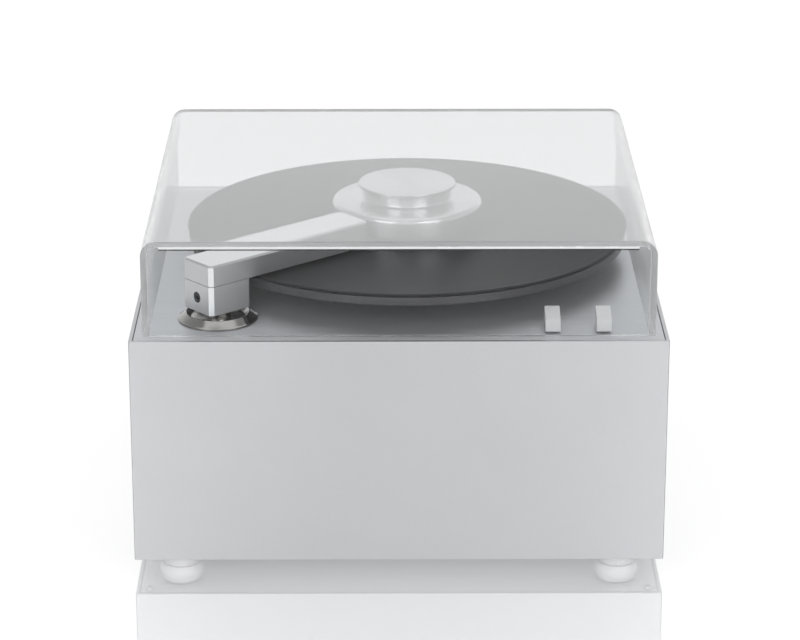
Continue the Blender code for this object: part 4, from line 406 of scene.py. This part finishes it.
def vinyl():
    """Black vinyl: fine concentric grooves, wider gaps between tracks, and a plain paper label."""
    s = Shader("record_vinyl", VINYL_BLACK, 0.34, 0.0, Anisotropic=0.75, Specular_IOR_Level=0.08)
    tangent = s.node("Tangent", direction_type="RADIAL", axis="Z")
    s.wire(tangent.outputs["Tangent"], s.bsdf.inputs["Tangent"])
    radius = s.radius()
    grooves = s.math("SINE", s.math("MULTIPLY", radius, 2 * math.pi / GROOVE_PITCH))
    bands = s.node("TexNoise", noise_dimensions="1D", Scale=1.0, Detail=5.0, Roughness=0.7)
    s.wire(s.math("MULTIPLY", radius, 620.0), bands.inputs["W"])
    s.wire(s.ramp(bands.outputs["Fac"], 0.27, 0.42), s.bsdf.inputs["Roughness"])
    label = s.math("LESS_THAN", radius, LABEL_RADIUS)
    tone = s.ramp(bands.outputs["Fac"], 0.85, 1.2)
    black = s.node("VectorMath", operation="SCALE")
    black.inputs[0].default_value = VINYL_BLACK
    s.wire(tone, black.inputs["Scale"])
    s.wire(s.mix(label, black.outputs["Vector"], PAPER), s.bsdf.inputs["Base Color"])
    s.bump(grooves, 0.00001, 0.5)
    return s.material


def see_through_for_light(s, tint, surface=None):
    """Lets shadow, diffuse and rough gloss rays pass straight on, so that light gets inside the cover."""
    path = s.node("LightPath")
    clear = s.node("BsdfTransparent")
    clear.inputs["Color"].default_value = (*tint, 1.0)
    soft = s.math("MULTIPLY", path.outputs["Is Glossy Ray"],
                  s.math("SUBTRACT", 1.0, path.outputs["Is Singular Ray"]))
    through = s.math("MAXIMUM", s.math("MAXIMUM", path.outputs["Is Shadow Ray"],
                                       path.outputs["Is Diffuse Ray"]), soft)
    s.finish(s.blend_shaders(through, surface or s.bsdf.outputs["BSDF"], clear.outputs["BSDF"]))


def acrylic():
    """Clear sheet with true refraction, and the bloom that light leaves on it at grazing angles."""
    s = Shader("clear_acrylic", (0.94, 0.95, 0.955), 0.0, 0.0, Transmission_Weight=1.0, IOR=1.49,
               Specular_Tint=(0.25, 0.25, 0.25, 1.0))
    s.vary_colour(s.noise(6, 2), 0.006)
    bloom = s.node("BsdfDiffuse")
    bloom.inputs["Color"].default_value = (0.84, 0.85, 0.85, 1.0)
    clouded = s.blend_shaders(s.facing(1.5, 0.49), s.bsdf.outputs["BSDF"], bloom.outputs["BSDF"])
    see_through_for_light(s, (0.95, 0.953, 0.955), clouded)
    return s.material


# Colours of the cover's cut edge are painted light: a grey painted glow, a painted highlight line on top, and
# painted glow and painted shade patches down the sides.
EDGE_PAINTED_GLOW_GREY = (0.66, 0.67, 0.67)
EDGE_PAINTED_HIGHLIGHT_LINE = (0.92, 0.93, 0.93, 1)
EDGE_PAINTED_SHADE_PATCH = (0.36, 0.37, 0.38, 1)
EDGE_PAINTED_GLOW_PATCH = (0.86, 0.87, 0.88, 1)
HIGHLIGHT_LINE_DEPTH = 1.2 * MM
TOP_BAND_DEPTH = 4.3 * MM


def painted_light_acrylic_edge():
    """Cut edge of the sheet, drawn opaque with painted light: painted glow and painted shade patches down the
    sides, and an even painted glow band with a painted highlight line on top, stand in for light inside the
    sheet.
    """
    s = Shader("painted_light_acrylic_edge", EDGE_PAINTED_GLOW_GREY, 0.12, 0.0)
    split = s.node("SeparateXYZ")
    s.wire(s.node("TexCoord").outputs["Object"], split.inputs[0])
    below = s.math("SUBTRACT", COVER_TOP, split.outputs["Z"])
    patches = s.node("TexNoise", noise_dimensions="1D", Scale=1.0, Detail=2.0, Roughness=0.75)
    s.wire(s.math("MULTIPLY", below, 75.0), patches.inputs["W"])
    side = s.mix(s.ramp(patches.outputs["Fac"], 0, 1, 0.49, 0.54), EDGE_PAINTED_SHADE_PATCH, EDGE_PAINTED_GLOW_PATCH)
    top = s.mix(s.math("LESS_THAN", below, HIGHLIGHT_LINE_DEPTH), (*EDGE_PAINTED_GLOW_GREY, 1), EDGE_PAINTED_HIGHLIGHT_LINE)
    s.wire(s.mix(s.math("GREATER_THAN", below, TOP_BAND_DEPTH), top, side), s.bsdf.inputs["Base Color"])
    see_through_for_light(s, (0.9, 0.9, 0.9))
    return s.material


def seam(name, colour, roughness, alpha):
    """One line along the glued joint behind the front panel's top edge; its colour is painted light, a
    painted highlight for the bright line and painted shade for the dark one.
    """
    s = Shader(name, colour, roughness, 0.0, Alpha=alpha)
    s.vary_roughness(s.noise(90, 3), roughness, roughness + 0.1)
    return s.material


RECORD_VINYL = vinyl()
CLEAR_ACRYLIC = acrylic()
PAINTED_LIGHT_ACRYLIC_EDGE = painted_light_acrylic_edge()
# Painted highlight and painted shade: a bright line and a half-clear dark line along the glued joint stand in
# for light and shade in the sheet's top edge.
SEAM_PAINTED_HIGHLIGHT = seam("seam_painted_highlight", (0.93, 0.94, 0.94), 0.2, 1.0)
SEAM_PAINTED_SHADE = seam("seam_painted_shade", (0.01, 0.01, 0.011), 0.3, 0.55)

NODE_MATERIALS = {
    "top_plate": PLATE_BRUSHED, "base_plate": REAR_SATIN, "rear_panel": REAR_SATIN,
    "suction_elbow": BLACK_PLASTIC, "switch_left": BLACK_PLASTIC, "switch_right": BLACK_PLASTIC,
    "pivot_bearing": BRASS_TURNED, "spindle_housing": BRASS_TURNED, "drive_belt": HOSE_RUBBER,
    "gear_motor": STEEL_TURNED, "motor_bracket": STEEL_TURNED, "motor_pulley": STEEL_TURNED,
    "spindle": STEEL_TURNED, "spindle_pulley": STEEL_TURNED, "vacuum_turbine": GREY_PLASTIC,
    "turbine_mount": SEAL_RUBBER, "exhaust_duct": GREY_PLASTIC, "fluid_tank": TANK_PLASTIC,
    "tank_lid": TANK_PLASTIC, "suction_hose": HOSE_RUBBER, "vacuum_hose": HOSE_RUBBER,
    "drain_hose": HOSE_RUBBER, "mains_inlet": BLACK_PLASTIC, "mains_switch": BLACK_PLASTIC,
    "mains_rocker": BLACK_PLASTIC, "drain_tap": NICKEL_TAP, "tap_nut": NICKEL_TAP,
    "drain_lever": BLACK_PLASTIC, "control_board": BOARD_GREEN, "transformer": COPPER_WINDING,
    "arm_tube": COLLAR_POLISHED, "arm_set_screw": BLACK_PLASTIC, "arm_lip_near": LIP_VELVET,
    "arm_lip_far": LIP_VELVET, "platter_mat": MAT_RUBBER,
    "post_front_left": REAR_SATIN, "post_front_right": REAR_SATIN,
    "post_rear_left": REAR_SATIN, "post_rear_right": REAR_SATIN,
}


def dress_nodes():
    for name, material in NODE_MATERIALS.items():
        mesh = NODES[name].data
        mesh.materials.clear()
        mesh.materials.append(material)


# Case

def case_wrap():
    low, high = CASE_LOW, CASE_HIGH
    wall, bend, inner_bend = 2.5 * MM, 1.2 * MM, 0.3 * MM
    outer = [(low.x, high.y), (low.x, low.y), (high.x, low.y), (high.x, high.y)]
    inner = [(high.x - wall, high.y), (high.x - wall, low.y + wall), (low.x + wall, low.y + wall),
             (low.x + wall, high.y)]
    outline = fillet(outer + inner, [0, bend, bend, 0, 0, inner_bend, inner_bend, 0], 6)
    piece = prism("case_shell", outline, low.z, high.z, edge=0.35 * MM)
    return dress(piece, CASE_SATIN, "machine", "case_wrap", slot="satin_aluminium")


def feet():
    """Soft round feet with a rolled lower edge."""
    for end in ("front", "rear"):
        for side in ("left", "right"):
            node = f"foot_{end}_{side}"
            low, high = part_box(node)
            radius, top = (high.x - low.x) / 2, high.z - low.z
            shoulder, heel, bore, depth = radius - 2.2 * MM, radius - 1.2 * MM, 6 * MM, 4 * MM
            outline = [(0, top), (shoulder, top), (radius, top / 2), (heel, 0),
                       (bore, 0), (bore, depth), (0, depth)]
            profile = fillet(outline, [0, 1.5 * MM, 3 * MM, 2.6 * MM, 0.8 * MM, 0.4 * MM, 0], 6, False)
            middle = (low + high) / 2
            piece = turned("soft_" + node, profile, (middle.x, middle.y, low.z), 96, closed=False)
            dress(piece, FOOT_SILICONE_PAINTED_GLOW, "machine", node, slot="foot_silicone")


def screw_head(name, place, turn, radius=3.0 * MM):
    """A low domed screw with a hex socket, its head pointing along its own +Z."""
    high, sunk, socket_radius = 1.5 * MM, -1.0 * MM, 1.15 * MM
    shank, crown = radius * 0.5, radius * 0.8
    outline = [(0, sunk), (shank, sunk), (shank, 0), (radius, 0), (crown, high), (0, high)]
    profile = fillet(outline, [0, 0, 0, 0.2 * MM, 0.9 * MM, 0], 4, False)
    piece = turned(name, profile, (0, 0, 0), 48, closed=False)
    cut(piece, prism(name + "_socket", circle(socket_radius, 6), 0.3 * MM, 3 * MM))
    piece.matrix_world = Matrix.Translation(place) @ turn
    return dress(piece, STEEL_TURNED, "machine", slot="bare_steel")


def case_screws():
    """The rear panel and the base plate are screwed to the corner posts."""
    from_edge = 12 * MM
    to_rear = Matrix.Rotation(-math.pi / 2, 4, "X")
    to_floor = Matrix.Rotation(math.pi, 4, "X")
    for side in ("left", "right"):
        rear = centre("post_rear_" + side)
        low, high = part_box("post_rear_" + side)
        for i, z in enumerate((low.z + from_edge, high.z - from_edge)):
            screw_head(f"rear_screw_{side}_{i}", (rear.x, REAR_Y, z), to_rear)
        for end in ("front", "rear"):
            post = centre(f"post_{end}_{side}")
            screw_head(f"base_screw_{end}_{side}", (post.x, post.y, CASE_LOW.z), to_floor)


# Dust cover

def dust_cover():
    """One bent sheet with glued end panels, 4 mm thick, as one clear solid."""
    low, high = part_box("dust_cover")
    sheet, bend, steps = 4 * MM, 10 * MM, 14

    def arch(inset, radius):
        left, right, top = low.x + inset, high.x - inset, high.z - inset
        points = [(left, low.z)]
        for middle, start in ((left + radius, math.pi), (right - radius, math.pi / 2)):
            for i in range(steps + 1):
                angle = start - math.pi / 2 * i / steps
                points.append((middle + radius * math.cos(angle), top - radius + radius * math.sin(angle)))
        return points + [(right, low.z)]

    outer, inner = arch(0, bend), arch(sheet, bend - sheet)
    bm = bmesh.new()

    def ring(points, y):
        return [bm.verts.new((x, y, z)) for x, z in points]

    front, rear = ring(outer, low.y), ring(outer, high.y)
    inner_front, inner_rear = ring(inner, low.y + sheet), ring(inner, high.y - sheet)
    for a, b in ((front, rear), (inner_rear, inner_front)):
        for i in range(len(a) - 1):
            bm.faces.new((a[i], a[i + 1], b[i + 1], b[i]))
    for face in (inner_front, inner_rear):
        bm.faces.new(face)
    for rim, y in ((front, low.y), (rear, high.y)):
        panel = ring(inner, y)
        bm.faces.new(panel)
        for i in range(len(rim) - 1):
            bm.faces.new((rim[i], rim[i + 1], panel[i + 1], panel[i])).material_index = 1
        rim += panel[::-1]
    count = len(outer)
    foot = {"front": (front[0], front[count - 1], front[count], front[-1]),
            "rear": (rear[0], rear[count - 1], rear[count], rear[-1])}
    fl, fr, fr_in, fl_in = foot["front"]
    rl, rr, rr_in, rl_in = foot["rear"]
    for corners in ((fl, rl, rl_in, inner_rear[0], inner_front[0], fl_in),
                    (fr, rr, rr_in, inner_rear[-1], inner_front[-1], fr_in),
                    (fl_in, fr_in, inner_front[-1], inner_front[0]),
                    (rl_in, rr_in, inner_rear[-1], inner_rear[0])):
        bm.faces.new(corners).material_index = 1
    piece = link("clear_cover", finish_mesh(bm, "clear_cover", 30))
    round_edges(piece, 0.3 * MM, 3)
    dress(piece, CLEAR_ACRYLIC, "cover", "dust_cover", slot="clear_acrylic")
    # The second material paints light onto the cut edges.
    piece.data.materials.append(PAINTED_LIGHT_ACRYLIC_EDGE)
    # Two thin bars along the glued joint carry a painted highlight line above and a painted shade line below.
    seams = (("bright", SEAM_PAINTED_HIGHLIGHT, 0, 0.9 * MM), ("dark", SEAM_PAINTED_SHADE, 0.95 * MM, 1.9 * MM))
    short, inset, rounding = 12 * MM, 0.3 * MM, 0.2 * MM
    near, far, top = low.y + inset, low.y + sheet - inset, high.z - sheet
    for name, material, above, under in seams:
        bar = fillet([(near, top - under), (far, top - under), (far, top - above), (near, top - above)],
                     rounding, 3)
        line = prism("cover_seam_" + name, bar, low.x + short, high.x - short, axis="X")
        dress(line, material, "cover", slot="clear_acrylic")


# Platter group

def platter():
    low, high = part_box("platter")
    radius = (high.x - low.x) / 2
    top, disc, floor = high.z, high.z - 5.9 * MM, high.z - 1.2 * MM
    under, web = disc + 2.5 * MM, low.z + 3.8 * MM
    bore, lip, skirt, hub, well = 6.3 * MM, radius - 4 * MM, radius - 12 * MM, 28 * MM, 20.3 * MM
    outline = [(bore, floor), (lip, floor), (lip, top), (radius, top), (radius, disc), (skirt, disc),
               (skirt, under), (hub, under), (hub, low.z), (well, low.z), (well, web), (bore, web)]
    radii = [0, 0.2 * MM, 0.2 * MM, 0.7 * MM, 0.7 * MM, 0.5 * MM, 0.5 * MM, 2 * MM, 0.8 * MM, 0, 0, 0]
    profile = fillet(outline, radii, 5)
    piece = turned("turned_platter", [(r, z - SPIN.z) for r, z in profile], SPIN, 256)
    return dress(piece, PLATTER_BLACK, "platter_group", "platter", slot="platter_black")


def record_disc():
    """Rim bead, lead-in step, grooved area and raised label area, on both sides."""
    low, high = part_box("record")
    radius, half = (high.x - low.x) / 2, (high.z - low.z) / 2
    dip, hole = 0.25 * MM, 3.62 * MM
    upper = [(hole, half), (51 * MM, half), (53.5 * MM, half - dip), (60 * MM, half - dip),
             (radius - 4.5 * MM, half - dip), (radius - 2.4 * MM, half)]
    bead = half * 0.55
    rim = [(radius, bead), (radius, -bead)]
    outline = upper + rim + [(r, -z) for r, z in reversed(upper)]
    one_side = [0, 0.4 * MM, 0.4 * MM, 0, 0.6 * MM, 1.2 * MM, 0.6 * MM]
    radii = one_side + one_side[::-1]
    piece = turned("vinyl_record", fillet(outline, radii, 4), (low + high) / 2, 320)
    return dress(piece, RECORD_VINYL, "platter_group", "record", slot="record_vinyl")


def clamp():
    low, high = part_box("clamp_body")
    base = low.z
    tall = high.z - low.z
    wall, neck, grip = 51.5 * MM, 30.7 * MM, 33.2 * MM
    shoulder = 15.8 * MM
    edge, lowest, grip_under, recess, foot, hollow = 2.1 * MM, 0, tall - 1.9 * MM, 46.5 * MM, 40 * MM, 6 * MM
    bore, bore_top = 3.7 * MM, 20 * MM
    outline = [
        (0, tall - 0.6 * MM), (4.6 * MM, tall - 0.45 * MM), (6.3 * MM, tall),
        (grip, tall), (grip, grip_under), (neck, tall - 2.3 * MM), (neck, shoulder + 1.2 * MM),
        (37 * MM, shoulder + 0.9 * MM), (wall, shoulder - 0.4 * MM), (wall, edge), (recess, edge),
        (recess, lowest), (foot, lowest), (foot, hollow), (bore, hollow), (bore, bore_top), (0, bore_top)]
    radii = [0, 1.5 * MM, 0.25 * MM, 0.45 * MM, 0.3 * MM, 0.4 * MM, 1.6 * MM, 0, 3.4 * MM, 0.3 * MM, 0,
             0, 0.3 * MM, 0, 0, 0, 0]
    profile = fillet(outline, radii, 10, False)
    piece = turned("turned_clamp", profile, (SPIN.x, SPIN.y, base), 224, closed=False)
    dress(piece, CLAMP_TURNED, "clamp", "clamp_body", slot="polished_aluminium")
    low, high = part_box("clamp_seal")
    outer = (high.x - low.x) / 2
    inner, thick, thin = outer - 7 * MM, 1.8 * MM, 0.7 * MM
    outline = [(inner, thick), (wall, thick), (outer, thin), (outer, 0), (inner, 0)]
    profile = fillet(outline, [0, 0.5 * MM, 0.3 * MM, 0.2 * MM, 0], 4)
    piece = turned("sealing_ring", profile, (SPIN.x, SPIN.y, low.z), 192)
    return dress(piece, SEAL_RUBBER, "clamp", "clamp_seal", slot="mat_rubber")


# Suction arm

ARM_STAND = Matrix.Translation((PIVOT.x, PIVOT.y, 0)) @ Matrix.Rotation(ARM_ANGLE, 4, "Z")
ARM_CORNER = 2.5 * MM


def on_arm(piece):
    piece.matrix_world = ARM_STAND
    return piece


def arm_outline(start, stop, half):
    """A rectangle with its four corners chamfered."""
    c = ARM_CORNER
    return [(start, half - c), (start, c - half), (start + c, -half), (stop - c, -half), (stop, c - half),
            (stop, half - c), (stop - c, half), (start + c, half)]


def chamfered(name, outline, low, high, chamfer):
    """An upright prism whose top edge is chamfered all round."""
    bm = bmesh.new()
    count = len(outline)
    middle = Vector((sum(x for x, y in outline) / count, sum(y for x, y in outline) / count))
    inner = []
    for i, point in enumerate(outline):
        here, before, after = Vector(point), Vector(outline[i - 1]), Vector(outline[(i + 1) % count])
        n1 = Vector(((here - before).y, -(here - before).x)).normalized()
        n2 = Vector(((after - here).y, -(after - here).x)).normalized()
        if n1.dot(here - middle) < 0:
            n1, n2 = -n1, -n2
        step = (n1 + n2) / (1 + n1.dot(n2))
        inner.append(tuple(here - step * chamfer))
    levels = [(outline, low), (outline, high)]
    if chamfer:
        levels = [(outline, low), (outline, high - chamfer), (inner, high)]
    rings = [[bm.verts.new((x, y, z)) for x, y in flat] for flat, z in levels]
    bm.faces.new(rings[0])
    bm.faces.new(rings[-1])
    for a, b in zip(rings[:-1], rings[1:]):
        for i in range(count):
            j = (i + 1) % count
            bm.faces.new((a[i], a[j], b[j], b[i]))
    return link(name, finish_mesh(bm, name, 20))


def suction_arm():
    low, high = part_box("arm_bar")
    tip, duct_height, spare = ARM_REACH - 6 * MM, 7 * MM, 1 * MM
    bar = chamfered("hollow_bar", arm_outline(ARM_TAIL, ARM_REACH, ARM_HALF), low.z, high.z, 1.2 * MM)
    start, half = 27 * MM, 1.5 * MM
    slot = fillet([(start, -half), (tip, -half), (tip, half), (start, half)], 1.4 * MM, 6)
    under, roof = low.z - spare, low.z + duct_height
    cut(bar, prism("slot_tool", slot, under, roof))
    cut(bar, prism("well_tool", circle(4.5 * MM, 48), under, roof))
    cut(bar, prism("duct_tool", circle(3.4 * MM, 32, height=roof), 0, tip, axis="X"))
    round_edges(bar, 0.15 * MM, 2, 20)
    dress(on_arm(bar), ARM_SATIN, "suction_arm", "arm_bar", slot="satin_aluminium")
    low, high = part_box("arm_block")
    block = chamfered("pivot_block", arm_outline(ARM_TAIL, BLOCK_NOSE, ARM_HALF), low.z, high.z, 0)
    middle = (low.z + high.z) / 2
    hole = circle(3.6 * MM, 48, height=middle)
    cut(block, prism("hole_tool", hole, ARM_TAIL - 2 * MM, ARM_TAIL + 11 * MM, axis="X"))
    cut(block, prism("bore_tool", circle(6.1 * MM, 48), low.z - spare, high.z + spare))
    round_edges(block, 0.15 * MM, 2, 20)
    dress(on_arm(block), ARM_SATIN, "suction_arm", "arm_block", slot="satin_aluminium")
    set_screw(middle)


def set_screw(z):
    """The black socket set screw in the block's outer end."""
    radius, length, sunk = 3.3 * MM, 9.5 * MM, 0.4 * MM
    outline = [(0, 0), (radius, 0), (radius, -length), (0, -length)]
    profile = fillet(outline, [0, 0.5 * MM, 0.5 * MM, 0], 4, False)
    screw = turned("socket_screw", profile, (0, 0, 0), 64, closed=False)
    cut(screw, prism("hex_tool", circle(1.75 * MM, 6, math.radians(12)), -2.6 * MM, 1 * MM))
    outward = Matrix.Translation((ARM_TAIL + sunk, 0, z)) @ Matrix.Rotation(-math.pi / 2, 4, "Y")
    screw.matrix_world = ARM_STAND @ outward
    dress(screw, BLACK_PLASTIC, "suction_arm", "arm_set_screw", slot="black_plastic")


def pivot_parts():
    low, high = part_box("pivot_collar")
    bore, dish, crest, rim = 8.3 * MM, 1.6 * MM, 5.0 * MM, 26.3 * MM
    outline = [(bore, dish), (17.8 * MM, dish), (20.6 * MM, crest), (21.3 * MM, crest),
               (25.5 * MM, 1.5 * MM), (rim, 1.1 * MM), (rim, 0), (bore, 0)]
    radii = [0, 0.6 * MM, 0.2 * MM, 0.2 * MM, 0.3 * MM, 0.2 * MM, 0.2 * MM, 0]
    piece = turned("pivot_cone", fillet(outline, radii, 5), (PIVOT.x, PIVOT.y, low.z), 192)
    dress(piece, COLLAR_POLISHED, "machine", "pivot_collar", slot="polished_steel")
    low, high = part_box("swivel_sleeve")
    bore, wall = 6.1 * MM, 8.0 * MM
    outline = [(bore, high.z), (wall, high.z), (wall, low.z), (bore, low.z)]
    profile = [(r, z - low.z) for r, z in fillet(outline, 0.25 * MM, 3)]
    piece = turned("turned_sleeve", profile, (PIVOT.x, PIVOT.y, low.z), 128)
    dress(piece, COLLAR_POLISHED, "arm_swivel", "swivel_sleeve", slot="polished_steel")


# Paddles

def paddles():
    """Wedge paddles: an upright front with rounded corners and a sloping top."""
    for name in ("left", "right"):
        low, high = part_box("paddle_" + name)
        foot, lean, slope = PLATE_Z + 1.4 * MM, 0.6 * MM, 3.6 * MM
        face, half_stem = foot + 8.3 * MM, 2.5 * MM
        outline = [(low.y, foot), (low.y + lean, face), (high.y, face + slope), (high.y, foot + slope)]
        rounded = fillet(outline, [0.5 * MM, 0.9 * MM, 0.6 * MM, 0.5 * MM], 5)
        cap = prism("paddle_cap_" + name, rounded, low.x, high.x, axis="X")
        x, y = (low.x + high.x) / 2, (low.y + high.y) / 2
        near, far, inside = y - half_stem, y + half_stem, foot + 5 * MM
        stem = [(near, low.z), (far, low.z), (far, inside), (near, inside)]
        cut(cap, prism("stem_tool", stem, x - half_stem, x + half_stem, axis="X"), "UNION")
        round_edges(cap, 0.55 * MM, 4, 30)
        dress(cap, PADDLE_SATIN, name + "_paddle", "paddle_" + name, slot="satin_aluminium")


# Studio

FLOOR_SIZE = 6.0
FLOOR_BOOST = 0.42
FLOOR_MIRROR = 1.20
FLOOR_MIRROR_MOST = 0.80
ZENITH_LEVEL = 0.35
SIDE_LEVEL = 0.55
FRONT_LEVEL = 1.02
WHITE = (1.0, 1.0, 1.0, 1.0)
LIGHT_AIM = (0, -0.05, 0.18)
SIDE_BOX = {"place": (1.20, -1.75, 0.95), "size": (1.2, 1.3), "power": 8}
TOP_BOX = {"place": (0, 0.3, 2.2), "size": (2.0, 2.0), "power": 10}
CAMERA_FROM_FRONT = Vector((-8.9, -1846.2, 666.7)) * MM
AIM_FROM_FRONT = Vector((1.43, 167.0, -44.3)) * MM
CAMERA_LENS = 137.66
CAMERA_SENSOR = 36.0


def studio_floor():
    """A pale floor that mirrors at low angles. Camera, gloss and the cover see it as white, shadow kept."""
    bm = bmesh.new()
    bmesh.ops.create_grid(bm, x_segments=1, y_segments=1, size=FLOOR_SIZE)
    floor = link("studio_floor", finish_mesh(bm, "studio_floor"))
    s = Shader("floor_white", (0.80, 0.80, 0.80), 0.5, 0.0)
    path = s.node("LightPath")
    direct = s.math("MAXIMUM", path.outputs["Is Camera Ray"], path.outputs["Is Transmission Ray"])
    seen = s.math("MAXIMUM", direct, path.outputs["Is Glossy Ray"])
    s.set("Emission Color", WHITE)
    s.wire(s.math("MULTIPLY", seen, FLOOR_BOOST), s.bsdf.inputs["Emission Strength"])
    mirror = s.node("BsdfGlossy", Roughness=0.03)
    mirror.inputs["Color"].default_value = WHITE
    share = s.math("MINIMUM", s.facing(1.5, FLOOR_MIRROR), FLOOR_MIRROR_MOST)
    s.finish(s.blend_shaders(s.math("MULTIPLY", seen, share), s.bsdf.outputs["BSDF"], mirror.outputs["BSDF"]))
    floor.data.materials.append(s.material)


def studio_world():
    """Soft surroundings, brightest in front and behind, dim above; camera and cover see plain white."""
    world = bpy.data.worlds.new("studio")
    bpy.context.scene.world = world
    world.use_nodes = True
    tree = world.node_tree
    tree.nodes.clear()

    def node(kind, **values):
        made = tree.nodes.new("ShaderNode" + kind)
        for key, value in values.items():
            setattr(made, key, value)
        return made

    def calc(operation, a, b):
        made = node("Math", operation=operation)
        for i, value in enumerate((a, b)):
            if isinstance(value, (int, float)):
                made.inputs[i].default_value = value
            else:
                tree.links.new(value, made.inputs[i])
        return made.outputs[0]

    where = node("TexCoord")
    split = node("SeparateXYZ")
    tree.links.new(where.outputs["Generated"], split.inputs[0])
    level = ZENITH_LEVEL
    rises = (("Z", 1.0, 0.3, SIDE_LEVEL - ZENITH_LEVEL), ("Y", 0.45, 0.92, FRONT_LEVEL - SIDE_LEVEL))
    for axis, low, high, rise in rises:
        span = node("MapRange", interpolation_type="SMOOTHSTEP")
        tree.links.new(calc("ABSOLUTE", split.outputs[axis], 0.0), span.inputs["Value"])
        for key, value in (("From Min", low), ("From Max", high), ("To Min", 0.0), ("To Max", rise)):
            span.inputs[key].default_value = value
        level = calc("ADD", level, span.outputs["Result"])
    path = node("LightPath")
    seen = calc("MAXIMUM", path.outputs["Is Camera Ray"], path.outputs["Is Transmission Ray"])
    strength = calc("ADD", calc("MULTIPLY", level, calc("SUBTRACT", 1.0, seen)), seen)
    background = node("Background")
    background.inputs["Color"].default_value = WHITE
    tree.links.new(strength, background.inputs["Strength"])
    output = node("OutputWorld")
    tree.links.new(background.outputs[0], output.inputs["Surface"])


def soft_box(name, place, size, power, side=1):
    light = bpy.data.lights.new(name, "AREA")
    light.shape = "RECTANGLE"
    light.size, light.size_y = size
    light.energy = power
    lamp = bpy.data.objects.new(name, light)
    bpy.context.scene.collection.objects.link(lamp)
    lamp.location = (side * place[0], place[1], place[2])
    lamp.rotation_euler = (Vector(LIGHT_AIM) - lamp.location).to_track_quat("-Z", "Y").to_euler()


def studio_lights():
    soft_box("soft_box_left", side=-1, **SIDE_BOX)
    soft_box("soft_box_right", **SIDE_BOX)
    soft_box("soft_box_top", **TOP_BOX)


def studio_camera():
    data = bpy.data.cameras.new("studio_camera")
    data.sensor_width = CAMERA_SENSOR
    data.lens = CAMERA_LENS
    camera = bpy.data.objects.new("studio_camera", data)
    bpy.context.scene.collection.objects.link(camera)
    front = Vector((0, FRONT_Y, PLATE_Z))
    camera.location = front + CAMERA_FROM_FRONT
    aim = front + AIM_FROM_FRONT
    camera.rotation_euler = (aim - camera.location).to_track_quat("-Z", "Y").to_euler()
    bpy.context.scene.camera = camera


studio_camera()
dress_nodes()
case_wrap()
feet()
case_screws()
dust_cover()
platter()
record_disc()
clamp()
suction_arm()
pivot_parts()
paddles()
studio_floor()
studio_world()
studio_lights()
bpy.context.scene.view_settings.view_transform = "Standard"


def corners(box):
    return [[float(v) for v in point] for point in box]
